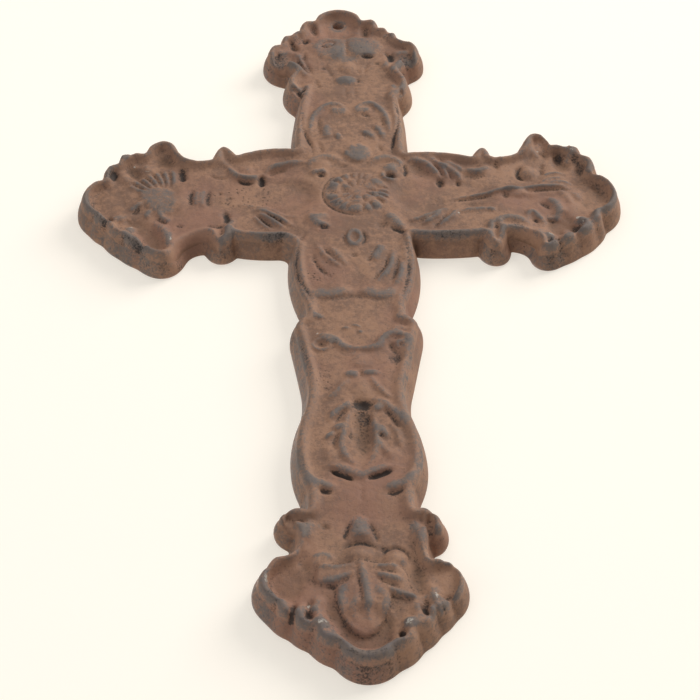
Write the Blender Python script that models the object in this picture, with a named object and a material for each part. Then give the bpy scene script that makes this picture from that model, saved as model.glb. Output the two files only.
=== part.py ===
"""Cast iron wall cross: one casting with lobed ends, a carved front and a shallow hollow behind.

Metres, +Z up, the front faces -Y and the back lies in the plane Y = 0. The origin is the middle of the
nail hole on the back plane. The free form of the cross is drawn in drawing units, which HEIGHT scales
across the front and THICKNESS in depth, so both sizes can be changed by themselves.
"""
import math

import bpy
import numpy as np
from mathutils import Vector
from mathutils.geometry import delaunay_2d_cdt
from mathutils.kdtree import KDTree

# Driving dimensions, in metres
HEIGHT = 0.346
THICKNESS = 0.012
NAIL_HOLE_DIAMETER = 0.0053
HOLLOW_DEPTH = 0.003
HOLLOW_DRAFT = 0.0012
EDGE_ROUND = 0.0013

# Depth in drawing units
DRAWN_THICKNESS = 12.0
DEPTH_UNIT = THICKNESS / DRAWN_THICKNESS

# Places and widths in drawing units, from the middle of the crossing: right, up
NAIL_HOLE = (-4.0, 117.0)
WALL_FLARE = 2.2
STEM_HOLLOW = 14.0
END_HOLLOW = 19.0

# Mesh fineness in drawing units
ARC_ERROR = 0.12
LONGEST_STEP = 5.0
CARVING_GRID = 1.25
SURFACE_TRIANGLES = 8250
HOLE_SIDES = 16

RUST = (0.235, 0.125, 0.085, 1.0)

# The outline at the front edge, anticlockwise: right, up, and how far the arc to the next corner bows out
TOP_TIP = [(7.4, 118.2, 7.4)]
TOP_LEFT = [(-15.2, 118.2, 1.9), (-21.8, 110.8, 0.8), (-25.4, 108, 1.6), (-29.8, 101.4, 2.4),
            (-35, 91.5, 1.9),
            (-26.8, 84.2, 0.0), (-23.8, 81.5, 4.2), (-20.7, 63, 0.1), (-22.6, 45, 0.1)]
LEFT_UPPER = [(-22.9, 29.7, 1.9), (-46.6, 26, 0.2), (-49.8, 30.4, 1.3), (-55.8, 30.2, 0.3), (-57, 23.6, -0.8),
              (-67.5, 24.8, -0.4), (-71.8, 32, 1.8), (-80, 34.2, 0.7), (-85.2, 28, 0.5), (-90.8, 27.2, 1.3),
              (-95.6, 21.9, 2.0)]
LEFT_TIP = [(-100.6, 11.8, 6.5)]
LEFT_LOWER = [(-103, -10.2, 0.9), (-97.5, -15.6, 0.9), (-90.5, -23.4, 0.7), (-83.5, -28.6, 0.3),
              (-78, -33.4, 1.6), (-70, -32, 0.3), (-67.3, -26, -1.8), (-57, -21.0, 0.4), (-54, -26, 1.1),
              (-49.5, -26, 0.3), (-46.8, -22.5, 0.8), (-28, -24.2, -0.6)]
STEM_LEFT = [(-23.2, -28, 1.9), (-18.9, -59.5, -0.4), (-18.6, -67, 1.5), (-22.6, -74, -0.1),
             (-18.3, -98, -0.9),
             (-19.3, -114, 1.1), (-21.8, -134, 0.7), (-18.3, -148.5, -0.4)]
BOTTOM_LEFT = [(-18.4, -157, 1.5), (-25.6, -158.4, 1.9), (-26.2, -163.4, 0.4), (-22.2, -165.8, -0.7),
               (-24.3, -174, 1.4), (-31.7, -180.3, 2.9), (-31.5, -192.5, 0.3), (-28.6, -195.6, 1.2),
               (-22.8, -200, 1.2), (-16.4, -204.6, 1.5)]
BOTTOM_TIP = [(-8.3, -210.7, 5.6)]
BOTTOM_RIGHT = [(10, -212, 1.5), (17.4, -205.3, 1.2), (23.2, -199.5, 1.0), (28.4, -193.8, 0.5),
                (31.4, -191.3, 2.3), (29.6, -179.6, 1.4), (22.6, -177.4, -0.5), (22.2, -168.5, 0.4),
                (26.4, -166.9, 2.1), (24.2, -159.1, 1.4), (18.4, -157.2, -0.4)]
STEM_RIGHT = [(18.4, -148.5, 0.8), (21.9, -134, 1.0), (17.8, -114, -1.0), (18.2, -98, 0.0), (23, -74, 1.9),
              (19, -67, -0.4), (19.2, -60, 2.2), (23.1, -28, 0.0)]
RIGHT_LOWER = [(23, -23.4, 0.9), (50.8, -23, 0.2), (53, -27.7, 1.6), (59.2, -27.8, 0.2), (60.8, -21, -1.9),
               (71.6, -26, 0.1), (72.2, -29.8, 0.9), (76.5, -32, 0.3), (81, -29.2, 0.6), (89, -24.2, 0.8),
               (96, -18, 0.9)]
RIGHT_TIP = [(99.2, -11.5, 7.7)]
RIGHT_UPPER = [(98.9, 13.2, 2.3), (95.3, 25, 1.1), (91.6, 29.6, 1.4), (88.7, 30.2, 0.5), (83.2, 30.6, 0.5),
               (80, 36.8, 1.6), (73, 36.2, 0.5), (69.3, 28.5, -1.2), (57.5, 24, 0.2), (56.7, 27.9, 1.2),
               (52, 28.5, 0.3), (49.4, 24, 1.7)]
TOP_RIGHT = [(22.2, 26.6, 0.1), (21.8, 45, 0.3), (20.6, 62.5, 4.3), (21.8, 81.4, 0.0), (25.6, 86.6, 1.2),
             (31.2, 92.6, 2.4), (25.4, 103.3, -0.4), (22.4, 105.4, 1.2), (18.3, 110.4, 1.6),
             (14.2, 112.6, 2.4)]
OUTLINE = (TOP_TIP + TOP_LEFT + LEFT_UPPER + LEFT_TIP + LEFT_LOWER + STEM_LEFT + BOTTOM_LEFT + BOTTOM_TIP
           + BOTTOM_RIGHT + STEM_RIGHT + RIGHT_LOWER + RIGHT_TIP + RIGHT_UPPER + TOP_RIGHT)


def arc_points(start, end, bow):
    """Points along one arc, without its last one: more of them where it turns more."""
    (x0, y0), (x1, y1) = start, end
    chord = math.hypot(x1 - x0, y1 - y0)
    if abs(bow) < 0.02:
        count = max(1, math.ceil(chord / LONGEST_STEP))
        return [(x0 + (x1 - x0) * k / count, y0 + (y1 - y0) * k / count) for k in range(count)]
    radius = (chord * chord / 4 + bow * bow) / (2 * abs(bow))
    half_angle = 2 * math.atan2(2 * abs(bow), chord)
    step = min(2 * math.sqrt(2 * radius * ARC_ERROR), LONGEST_STEP)
    count = max(2, math.ceil(2 * half_angle * radius / step))
    side = 1 if bow > 0 else -1
    out_x, out_y = (y1 - y0) / chord * side, (x0 - x1) / chord * side
    centre_x = (x0 + x1) / 2 + out_x * (abs(bow) - radius)
    centre_y = (y0 + y1) / 2 + out_y * (abs(bow) - radius)
    points = []
    for k in range(count):
        turn = half_angle * (2 * k / count - 1)
        along = math.sin(turn) * radius
        out = math.cos(turn) * radius
        points.append((centre_x + out_x * out + (x1 - x0) / chord * along,
                       centre_y + out_y * out + (y1 - y0) / chord * along))
    return points


def outline_points(corners):
    """A closed outline from its corners and the bow of each arc."""
    points = []
    for (x0, y0, bow), (x1, y1, _) in zip(corners, corners[1:] + corners[:1]):
        points += arc_points((x0, y0), (x1, y1), bow)
    return np.array(points)


def outward(points, blur):
    """Outward unit normals of a closed anticlockwise outline, blurred along it."""
    side = np.roll(points, -1, axis=0) - np.roll(points, 1, axis=0)
    normal = np.stack([side[:, 1], -side[:, 0]], axis=1)
    for _ in range(blur):
        normal = (np.roll(normal, 1, axis=0) + 2 * normal + np.roll(normal, -1, axis=0)) / 4
    return normal / np.linalg.norm(normal, axis=1, keepdims=True)


def flared(points, distance):
    """The outline grown outwards. Its narrow creases fade as it grows."""
    grown = points + outward(points, 2) * distance
    for _ in range(2):
        grown = (np.roll(grown, 1, axis=0) + 4 * grown + np.roll(grown, -1, axis=0)) / 6
    return grown


def smooth(value):
    value = np.clip(value, 0.0, 1.0)
    return value * value * (3 - 2 * value)


def curve_through(points, step=0.8):
    """A smooth curve through a few points, as samples."""
    guide = np.array([points[0]] + list(points) + [points[-1]], float)
    samples = []
    for a, b, c, d in zip(guide, guide[1:], guide[2:], guide[3:]):
        count = max(2, math.ceil(np.linalg.norm(c - b) / step))
        for t in np.arange(count) / count:
            samples.append(0.5 * (2 * b + (c - a) * t + (2 * a - 5 * b + 4 * c - d) * t * t
                                  + (3 * b - a - 3 * c + d) * t ** 3))
    samples.append(guide[-1])
    return np.array(samples)


class Relief:
    """The height of the front over the back plane, raised and sunk form by form."""

    def __init__(self, x, y, edge, level):
        self.x, self.y, self.edge = x, y, edge
        self.height = level

    def polar(self, centre, size, angle=0.0):
        """How far each point is from a centre, as a share of an oval's two half sizes."""
        c, s = math.cos(math.radians(angle)), math.sin(math.radians(angle))
        dx, dy = self.x - centre[0], self.y - centre[1]
        return np.hypot((dx * c + dy * s) / size[0], (dy * c - dx * s) / size[1])

    def dome(self, centre, size, height, angle=0.0):
        """A rounded boss, or a hollow when the height is negative."""
        reach = self.polar(centre, size, angle)
        self.height += height * np.clip(1 - reach * reach, 0, None) ** 1.5

    def dish(self, centre, size, floor, soft=0.45, angle=0.0):
        """Brings the surface to a level inside an oval, with a soft edge."""
        share = smooth((1 - self.polar(centre, size, angle)) / soft)
        self.height += share * (floor - self.height)

    def stroke(self, points, width, height):
        """A ridge along a curve, or a groove when the height is negative, thinner at its ends."""
        curve = curve_through(points)
        near = 2.3 * width
        low, high = curve.min(axis=0) - near, curve.max(axis=0) + near
        close = (self.x > low[0]) & (self.x < high[0]) & (self.y > low[1]) & (self.y < high[1])
        close = np.nonzero(close)[0]
        if len(close) == 0:
            return
        place = np.stack([self.x[close], self.y[close]], axis=1)
        best = np.full(len(close), 1e9)
        where = np.zeros(len(close))
        for k, (a, b) in enumerate(zip(curve, curve[1:])):
            run = b - a
            t = np.clip(((place - a) @ run) / max(run @ run, 1e-9), 0, 1)
            away = np.hypot(place[:, 0] - a[0] - run[0] * t, place[:, 1] - a[1] - run[1] * t)
            closer = away < best
            best[closer] = away[closer]
            where[closer] = (k + t[closer]) / (len(curve) - 1)
        fade = smooth(4 * where + 0.35) * smooth(4 * (1 - where) + 0.35)
        self.height[close] += height * fade * np.exp(-(best / width) ** 2)

    def strokes(self, curves, width, height):
        for points in curves:
            self.stroke(points, width, height)


def mirrored(curves):
    """The same curves on the other side of the upright."""
    return [[(-x, y) for x, y in points] for points in curves]


def ground(x, y, edge):
    """The plain form: a level field, a rolled rim, deeper arms and dished ends."""
    arm = smooth((np.abs(x) - 16) / 12)
    end_x = smooth((np.abs(x) - 60) / 14)
    end_y = smooth((y - 64) / 12) + smooth((-150 - y) / 12)
    end = np.clip(end_x + end_y, 0, 1)
    level = 9.6 - 0.9 * arm - 0.7 * end
    crown = 0.8 * (1 - arm) * (1 - end) * np.cos(np.clip(np.abs(x) / 22, 0, 1) * math.pi / 2)
    rim = (1.9 + 0.5 * arm + 1.2 * end) * np.exp(-((edge - 2.1) / 1.9) ** 2)
    return level + crown + rim


def carve_tips(relief):
    """The broad dish inside each end's tip, and the nail hole's flat under the top one."""
    relief.dish((-4, 113), (9.5, 10.5), 7.7)
    relief.dish((-97, -0.5), (9.5, 10.0), 7.6)
    relief.dish((97, 0.5), (9.0, 10.5), 7.6)
    relief.dish((0.5, -203), (10.5, 9.0), 7.6)


def carve_ears(relief):
    """The scooped lobes beside each tip, and the rolled buds nearer the crossing."""
    relief.dish((-29, 89), (4.2, 7.0), 8.2, angle=-15)
    relief.dish((25, 90), (4.2, 6.5), 8.4, angle=20)
    relief.dish((-78, 24), (4.5, 7.0), 8.6, angle=-10)
    relief.dish((-78.5, -23), (4.2, 8.5), 7.8, angle=-25)
    relief.dish((78, 31), (3.2, 5.0), 9.0, angle=0)
    relief.dish((81.5, -18), (5.0, 5.5), 7.6, angle=30)
    relief.dish((-27, -187), (4.5, 6.0), 8.0, angle=20)
    relief.dish((27.5, -187), (3.8, 8.0), 8.2, angle=-10)
    relief.dish((-22.5, 66.5), (2.4, 4.5), 8.8, angle=20)
    relief.dish((22.3, 63), (2.0, 5.0), 9.2)
    relief.dish((-24, -162), (2.4, 3.6), 8.8)
    relief.dish((22.8, -165), (1.9, 5.5), 8.6)
    relief.strokes([[(-49, -10), (-48.4, -16), (-49.3, -23)], [(54.3, -17), (54.6, -22), (54.6, -26)],
                    [(57, -15.5), (58.6, -20), (58.3, -26)], [(53, 18), (54, 23), (54.5, 26)]], 1.3, 1.4)


def carve_scallops(relief):
    """Hollows behind the small scallops, each between two ridges that run in from the rim's creases."""
    hollows = [((-15, 110), (2.2, 4.5), 8), ((-20, 103), (2.6, 3.6), 45), ((8.2, 109), (2.4, 4.8), -8),
               ((18, 106), (2.6, 1.9), 0), ((-97, 13), (2.4, 4.0), -15), ((-90.5, 16), (3.0, 4.8), 35),
               ((-96, -12), (1.6, 2.6), 20), ((93.5, 16), (2.8, 5.0), -20), ((84, 24), (2.6, 4.0), 0),
               ((-19, -201), (1.2, 2.8), 0), ((-22.8, -198), (1.2, 2.6), 0), ((19.3, -198), (1.2, 2.8), 0),
               ((12, -206), (1.3, 2.4), 0), ((90, -17), (1.6, 4.0), -25)]
    for centre, size, angle in hollows:
        relief.dome(centre, size, -2.4, angle)
    knobs = [(-13, -203.5), (14, -203), (-17.3, -197.5), (-92, 23.5), (-87, -17), (90, -14), (90.5, 25),
             (77.5, -23)]
    for centre in knobs:
        relief.dome(centre, (2.8, 2.8), 1.2)


def carve_top_leaf(relief):
    """The palmette under the nail hole, its tail lines and the boss at its foot."""
    relief.dome((-5.5, 97.5), (6.5, 8), 1.9, 20)
    relief.dome((6.5, 98), (6.5, 7.5), 1.9, -20)
    relief.stroke([(-0.5, 107), (-0.8, 98), (-0.3, 88), (0, 80)], 1.0, -1.1)
    relief.dome((8, 91.5), (2.6, 1.8), -2.4)
    relief.dome((-1.5, 75), (4.2, 3.6), 2.2)
    relief.strokes([[(-18.5, 95), (-19, 87), (-16, 80)], [(-22.5, 93), (-21.5, 86), (-16.5, 79.5)],
                    [(-14.5, 77), (-13, 72), (-12.5, 68)], [(13.5, 77), (12.5, 72), (11.5, 68)],
                    [(16, 94), (18.5, 89), (16, 84)], [(4, 82), (5, 79), (4.5, 74)],
                    [(-10.5, 85), (-10.3, 80), (-7, 75)]],
                   0.9, -1.5)
    relief.strokes([[(-25, 96), (-20.5, 90), (-18.5, 82)], [(20, 94.5), (24, 93.5), (27, 91)],
                    [(-8, 90), (-6, 84), (-4, 79)], [(9, 89), (7, 84), (4, 79)]], 1.2, 1.2)


def carve_upper_barrel(relief):
    """The double arch, the pleats that run down to the crossing, and the small fan at their foot."""
    relief.strokes([[(-15, 51), (-12, 57), (-7, 59.5), (-3, 57), (-1.5, 53)],
                    [(1, 54), (3.5, 58), (7, 60), (12, 57), (15, 51), (16.5, 45)]], 1.3, 1.6)
    relief.strokes([[(-13, 50), (-9, 54), (-5, 53)], [(4, 54), (8, 54), (11, 50)]], 1.4, -1.2)
    relief.strokes([[(-20, 48), (-19.5, 39), (-17, 32), (-16.5, 25)],
                    [(19.8, 50), (20, 42), (18, 33), (17.2, 26)],
                    [(-17.5, 45), (-15.5, 37), (-14, 30)], [(14, 44), (13.5, 37), (12, 30)],
                    [(-11.5, 46), (-11.5, 39), (-9, 32)], [(-7, 42), (-7.5, 37), (-5, 32)],
                    [(5, 41), (9, 36), (10, 31)]],
                   0.9, -1.4)
    relief.strokes([[(-9, 47), (-9.8, 41), (-8, 35)], [(10, 46), (12.5, 41), (12.8, 35)],
                    [(5, 40), (9, 37.5), (11, 33)],
                    [(-4, 40), (-5.5, 37), (-4.5, 33)]], 1.0, 1.1)
    relief.dome((2.3, 27), (6.0, 5.5), 1.9)
    for angle in (-60, -25, 10, 45):
        lean = math.radians(angle)
        foot = (2.3, 21.5)
        relief.stroke([foot, (foot[0] + 8.5 * math.sin(lean), foot[1] + 8.5 * math.cos(lean))], 0.6, -0.9)


def carve_crossing(relief):
    """The rosette with its ring of petals, and the four corner scrolls."""
    centre, size, petals = (2.5, 1.5), (13.0, 12.0), 12
    share = relief.polar(centre, size)
    turn = np.arctan2(relief.y - centre[1], relief.x - centre[0])
    petal = np.abs(np.cos(turn * petals / 2))
    ring = smooth((share - 0.28) / 0.15) * smooth((1.0 - share) / 0.18)
    relief.height += 1.6 * smooth((1.05 - share) / 0.2) + ring * (0.9 * petal - 0.5)
    relief.height -= 1.5 * np.exp(-((share - 1.06) / 0.07) ** 2)
    relief.dome(centre, (3.4, 3.2), 0.8)
    for scroll, eye, size in (((-11.5, 18.5), (-13, 13.5), (5.5, 4.5)), ((15, 18.5), (16, 12.5), (5.5, 5.0)),
                              ((-11.5, -14.5), (-11.8, -18.5), (4.5, 4.0)),
                              ((15.5, -14.5), (12, -18.5), (4.5, 4.0))):
        relief.dome(scroll, size, 1.9)
        relief.dome(eye, (2.6, 2.2), -2.2)


def carve_arms(relief):
    """The deep rough field of each arm between its leaf sprays and the scrolled rim over the saddle."""
    relief.dish((-36, 1), (26, 13.5), 8.0, 0.35)
    relief.dish((37, 1), (24, 13.5), 8.0, 0.35)
    upper_left = [[(-17, 18), (-24, 22), (-31, 20), (-37, 15)],
                  [(-37, 17), (-41, 14), (-45, 13.5), (-49, 18)]]
    upper_right = [[(21, 20.5), (27, 21.5), (33, 17), (35.5, 11)], [(28, 22), (35, 18.5), (38, 13), (38, 7)],
                   [(34, 21), (40, 16.5), (42.5, 11), (41, 6)], [(43, 15.5), (49, 14.5), (55, 14)]]
    lower_left = [[(-43, -5), (-37, -7), (-31, -12.5), (-24, -16)], [(-40, -8), (-35, -13.5), (-30, -18)]]
    lower_right = [[(20, -14.5), (27, -14), (33, -8.5)], [(29, -16.5), (35, -10.5), (39, -6)],
                   [(33, -20), (37, -15), (42, -9)],
                   [(43, -9), (49, -8.5), (55, -8)]]
    relief.strokes(upper_left + upper_right + lower_left + lower_right, 1.2, 1.7)
    relief.dome((-36.5, 11.5), (1.7, 4.2), -2.4)
    relief.dome((-43, 11.5), (1.9, 2.8), -2.0, 25)
    relief.dome((35.7, 7.5), (2.0, 3.4), -2.4)
    relief.strokes([[(-63, 7), (-64, 0), (-63, -8)], [(-57.5, 5), (-58.3, 0), (-57.5, -6)]], 1.0, 1.1)
    relief.strokes([[(38, 0.5), (46, 1.8), (55, 2), (61, 4)], [(61, 5), (66, 4), (72, 4)]], 0.9, 1.1)
    relief.dome((66, 1), (3.6, 3.0), 1.2)
    relief.stroke([(55.5, -20), (57, -15.5), (62, -13.5), (67, -15), (71, -19)], 1.5, 1.8)
    relief.stroke([(-49, -12), (-53, -15.5), (-60, -16.5), (-66, -18.5), (-71, -19)], 1.5, 1.4)


def carve_left_leaf(relief):
    """The palmette of the left end: a fan of ribs that spread from its foot."""
    relief.dome((-79, 0), (9.0, 8.0), 1.7)
    foot, reach = (-71, 0.5), 17.0
    for angle in (95, 118, 136, 154, 172, 190, 210, 230):
        lean = math.radians(angle)
        tip = (foot[0] + reach * math.cos(lean), foot[1] + reach * 0.85 * math.sin(lean))
        mid = ((foot[0] * 2 + tip[0] * 3) / 5, (foot[1] * 2 + tip[1] * 3) / 5 - 1.2)
        relief.stroke([foot, mid, tip], 0.8, 1.2)
    relief.stroke([(-69, 16), (-68.3, 12), (-67.5, 9)], 1.2, -1.6)
    relief.strokes([[(-104, -6), (-101, -10)], [(-85.5, -20), (-81, -27), (-77, -31)],
                    [(-71.5, -19), (-70.8, -25), (-72, -30)],
                    [(-94, -15.5), (-90, -16), (-86, -14)], [(-88, 21), (-84, 16), (-82, 10)]], 1.2, 1.2)


def carve_right_leaf(relief):
    """The curled leaf of the right end: long ridges above and a scroll below."""
    relief.strokes([[(71, 4), (76, 7.5), (83, 8), (90, 6)], [(74, 4), (84, 5.3), (92, 3.5)],
                    [(76, 0), (79.5, -3), (81.5, -8)],
                    [(83, 2), (87, -3), (87, -8)]], 1.2, 1.7)
    relief.dome((77, -9), (2.8, 2.2), 1.6)
    relief.dome((79.5, -12.5), (2.4, 1.8), -2.0)
    relief.strokes([[(69.5, 10), (70.5, 15), (70, 20)], [(73, 11), (74, 16), (74, 21)],
                    [(77, 11), (78.5, 16), (80, 20)]], 1.1, 1.2)
    relief.strokes([[(68, 11), (68.3, 15), (68, 18)], [(75.5, 12), (76.5, 16), (77, 20)]], 0.8, -1.0)
    relief.strokes([[(104, -5), (98, -9), (92, -12)], [(72, -13), (75, -19), (79, -25)],
                    [(88, -13), (89, -18), (86, -24)],
                    [(86, 14), (88, 20), (91, 26)]], 1.2, 1.2)


def carve_lower_barrel(relief):
    """The shield under the crossing: an inset field, a bead, spread ribs and a two-part band."""
    relief.strokes([[(-17, -21), (-21, -28), (-22.4, -37), (-21.8, -46), (-19, -53), (-16, -59),
                     (-13.5, -66)],
                    [(18.5, -20), (21, -28), (22, -37), (21, -46), (18.5, -55), (15, -63)]], 0.9, -1.6)
    relief.dome((0.5, -25), (3.2, 5.6), 1.6)
    relief.stroke([(-2.3, -22), (-2.6, -26), (-1, -31), (2, -31), (3.6, -26), (3, -21)], 0.7, -1.2)
    relief.strokes([[(-13, -23), (-9, -28.5), (-4.5, -35)], [(-16, -27), (-11.5, -36), (-8, -43), (-6, -51)],
                    [(-19.5, -30), (-18, -40), (-14, -49)], [(10.5, -27), (8.5, -31), (7, -36)],
                    [(15, -28), (14.5, -35), (11, -42), (8, -49)], [(18.5, -30), (18.5, -40), (16, -49)]],
                    1.1, 1.4)
    relief.dome((0.5, -44), (7.5, 11), -0.9)
    relief.strokes([[(-16, -53), (-11, -55.5), (-6, -54), (-1, -54.5)],
                    [(1, -54.5), (6, -54), (11, -56), (16, -51.5)]], 2.0, 1.8)
    relief.dome((0, -63), (14, 5), -1.0)


def carve_vase(relief):
    """The vase-shaped lower stem: a scrolled bracket, hanging leaves round a slot, and a lower bracket."""
    relief.strokes([[(-14, -78), (-10, -79.5), (-6, -83.5), (-1, -84.5)],
                    [(2, -84.5), (6, -83.5), (10, -78.5), (15, -76.8), (18.5, -80), (17, -84.5)]],
                   1.2, 1.7)
    relief.dome((-13, -82), (3.4, 3.0), 1.4)
    relief.dome((16, -82), (3.2, 3.2), 1.4)
    relief.dome((16.2, -82.3), (1.2, 1.2), -1.4)
    relief.dome((15.5, -88), (4.0, 3.4), -1.3)
    relief.dome((0.8, -74), (2.4, 2.6), 1.0)
    relief.stroke([(1, -86), (1, -94)], 1.6, 0.9)
    relief.dome((-1.8, -96.5), (2.6, 1.9), 1.3)
    relief.dome((4.6, -96), (3.0, 1.6), 1.3)
    relief.strokes([[(-20.8, -76), (-19.2, -86), (-17.2, -97), (-16.6, -106)],
                    [(20.8, -78), (19, -90), (16.8, -103), (17, -114), (19, -122)],
                    [(-20.8, -126), (-20.3, -136), (-17.5, -145)], [(21, -128), (20, -139), (16.5, -147)]],
                    0.9, -1.4)
    relief.strokes([[(-3, -98), (-8, -104), (-11, -108)], [(5, -98), (9, -104), (13.5, -108)],
                    [(-2, -108), (-7, -112.5), (-11, -119)],
                    [(5, -109), (11, -114.5), (16, -121)]], 1.1, 1.4)
    relief.strokes([[(-4, -112), (-4.5, -122), (-6, -130), (-3, -138), (0.5, -141)],
                    [(5.2, -113), (5, -123), (6.6, -130), (4, -137), (0.5, -141)]],
                   1.2, 1.3)
    relief.dome((0.8, -123), (4.4, 15), -2.6)
    relief.dome((1.4, -111), (2.8, 3.0), -1.8)
    relief.strokes([[(-7, -119), (-9, -124), (-12, -128)], [(6, -118), (8.5, -124), (11, -130)],
                    [(9, -113), (12.5, -120), (14, -129)]], 1.3, 1.2)
    relief.strokes([[(-11, -138), (-4, -140.5), (0.5, -143), (5, -140.5), (12.5, -138)],
                    [(-18, -142), (-14, -146), (-9, -147.3)],
                    [(7.5, -148), (13, -146.3), (18, -141)]], 1.4, 1.5)
    relief.strokes([[(-9.5, -140.2), (-6, -142.5), (-2.5, -144.7)],
                    [(10.5, -140.3), (7, -142.8), (3.5, -144.5)]], 0.8, -2.8)
    relief.strokes([[(-14, -149), (-10, -150)], [(8, -150.3), (12, -149.5)]], 0.8, -1.8)


def carve_bottom_leaf(relief):
    """The acanthus of the foot: a knob, a band over it, two scrolls and a veined leaf in a deep ring."""
    relief.dome((0, -163.5), (3.8, 3.8), 1.7)
    relief.strokes([[(-4, -164), (-7.5, -170)], [(4, -165), (6.5, -170)]], 0.8, -1.2)
    relief.stroke([(-6, -169), (0, -167.5), (5, -169)], 1.3, 1.1)
    relief.stroke([(-7, -177), (-6.5, -172.5), (-1, -170.3), (4, -172), (5.5, -176)], 0.8, -1.6)
    relief.dome((11, -176.5), (4.6, 4.6), 1.7)
    relief.dome((-14, -177.5), (5.0, 4.0), 1.3)
    relief.strokes([[(6.5, -177), (7.5, -173), (11, -171.3), (15, -174), (15.5, -179)],
                    [(-19, -175), (-14, -173.7), (-10.5, -177)]], 0.8, -1.7)
    relief.dish((-11.5, -199), (4.2, 7.5), 7.6, 0.6, 35)
    relief.dish((10.5, -199), (4.0, 7.0), 7.6, 0.6, -35)
    relief.dome((0, -189), (11.5, 14), 2.6)
    relief.dome((0, -200), (5.5, 7.5), 1.2)
    relief.stroke([(-1, -177), (-0.3, -186), (0.3, -196), (0, -204)], 0.9, 1.0)
    veins = [[(-2, -181), (-6, -184), (-11, -184.5)], [(-2, -186), (-6.5, -189.5), (-12, -190)],
             [(-1.5, -191), (-5, -195), (-8.5, -197)],
             [(-1, -197), (-3.5, -200.5), (-5, -203)]]
    relief.strokes(veins + mirrored(veins), 0.8, -1.2)
    relief.strokes([[(-31, -182), (-31.7, -188), (-29.5, -193)],
                    [(23, -180), (22, -186), (24, -192), (24.2, -197)],
                    [(17.6, -161), (18, -167), (20.5, -174)]], 1.2, 1.3)


CARVINGS = (carve_tips, carve_ears, carve_scallops, carve_top_leaf, carve_upper_barrel, carve_crossing,
            carve_arms,
            carve_left_leaf, carve_right_leaf, carve_lower_barrel, carve_vase, carve_bottom_leaf)


def front_height(x, y, edge):
    """The finished front in drawing units of depth, kept under the thickness and rounded at its edge."""
    relief = Relief(x, y, edge, ground(x, y, edge))
    for carving in CARVINGS:
        carving(relief)
    knee = DRAWN_THICKNESS - 1.0
    over = np.clip(relief.height - knee, 0, None)
    height = np.minimum(relief.height, knee) + 1.0 - np.exp(-over)
    radius = EDGE_ROUND / DEPTH_UNIT
    inset = np.clip(1 - edge / radius, 0, 1)
    return height - radius * (1 - np.sqrt(np.clip(1 - inset * inset, 0, 1)))


def distance_to(outline, x, y):
    """How far each point lies from a closed outline."""
    following = np.roll(outline, -1, axis=0)
    samples = np.concatenate([outline + (following - outline) * t for t in np.linspace(0, 1, 12,
                                                                                       endpoint=False)])
    tree = KDTree(len(samples))
    for k, (a, b) in enumerate(samples):
        tree.insert((a, b, 0.0), k)
    tree.balance()
    return np.array([tree.find((a, b, 0.0))[2] for a, b in zip(x, y)])


def triangulate(loops, extra):
    """Triangles of the region between an outer loop and its holes, through some extra points."""
    points = [Vector(p) for loop in loops for p in loop] + [Vector(p) for p in extra]
    edges, first = [], 0
    for loop in loops:
        edges += [(first + k, first + (k + 1) % len(loop)) for k in range(len(loop))]
        first += len(loop)
    verts, _, faces, origins, _, _ = delaunay_2d_cdt(points, edges, [], 2, 1e-6)
    source = [origin[0] for origin in origins]
    corners = np.array([[source[k] for k in face] for face in faces])
    flat = np.array([tuple(p) for p in points])
    middle = flat[corners].mean(axis=1)
    open_area = np.zeros(len(corners), bool)
    for loop in loops[1:]:
        open_area |= inside(loop, middle)
    triangles = []
    for a, b, c in corners[~open_area].tolist():
        (ax, ay), (bx, by), (cx, cy) = flat[a], flat[b], flat[c]
        turn = (bx - ax) * (cy - ay) - (by - ay) * (cx - ax)
        triangles.append((a, b, c) if turn > 0 else (a, c, b))
    return triangles


def grid_points(outline, holes, spacing, margin):
    """A triangular grid of points, clear of the outline and of round holes."""
    low, high = outline.min(axis=0), outline.max(axis=0)
    rows = np.arange(low[1], high[1], spacing * math.sqrt(3) / 2)
    points = []
    for k, y in enumerate(rows):
        x = np.arange(low[0] + (k % 2) * spacing / 2, high[0], spacing)
        points.append(np.stack([x, np.full_like(x, y)], axis=1))
    points = np.concatenate(points)
    away = distance_to(outline, points[:, 0], points[:, 1])
    keep = away > margin
    for centre, radius in holes:
        keep &= np.hypot(points[:, 0] - centre[0], points[:, 1] - centre[1]) > radius + margin
    keep &= inside(outline, points)
    return points[keep]


def inside(outline, points):
    """Whether each point lies inside a closed outline."""
    crossed = np.zeros(len(points), bool)
    for (x0, y0), (x1, y1) in zip(outline, np.roll(outline, -1, axis=0)):
        spans = (y0 > points[:, 1]) != (y1 > points[:, 1])
        if y0 != y1:
            crossed ^= spans & (points[:, 0] < x0 + (x1 - x0) * (points[:, 1] - y0) / (y1 - y0))
    return crossed


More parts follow.
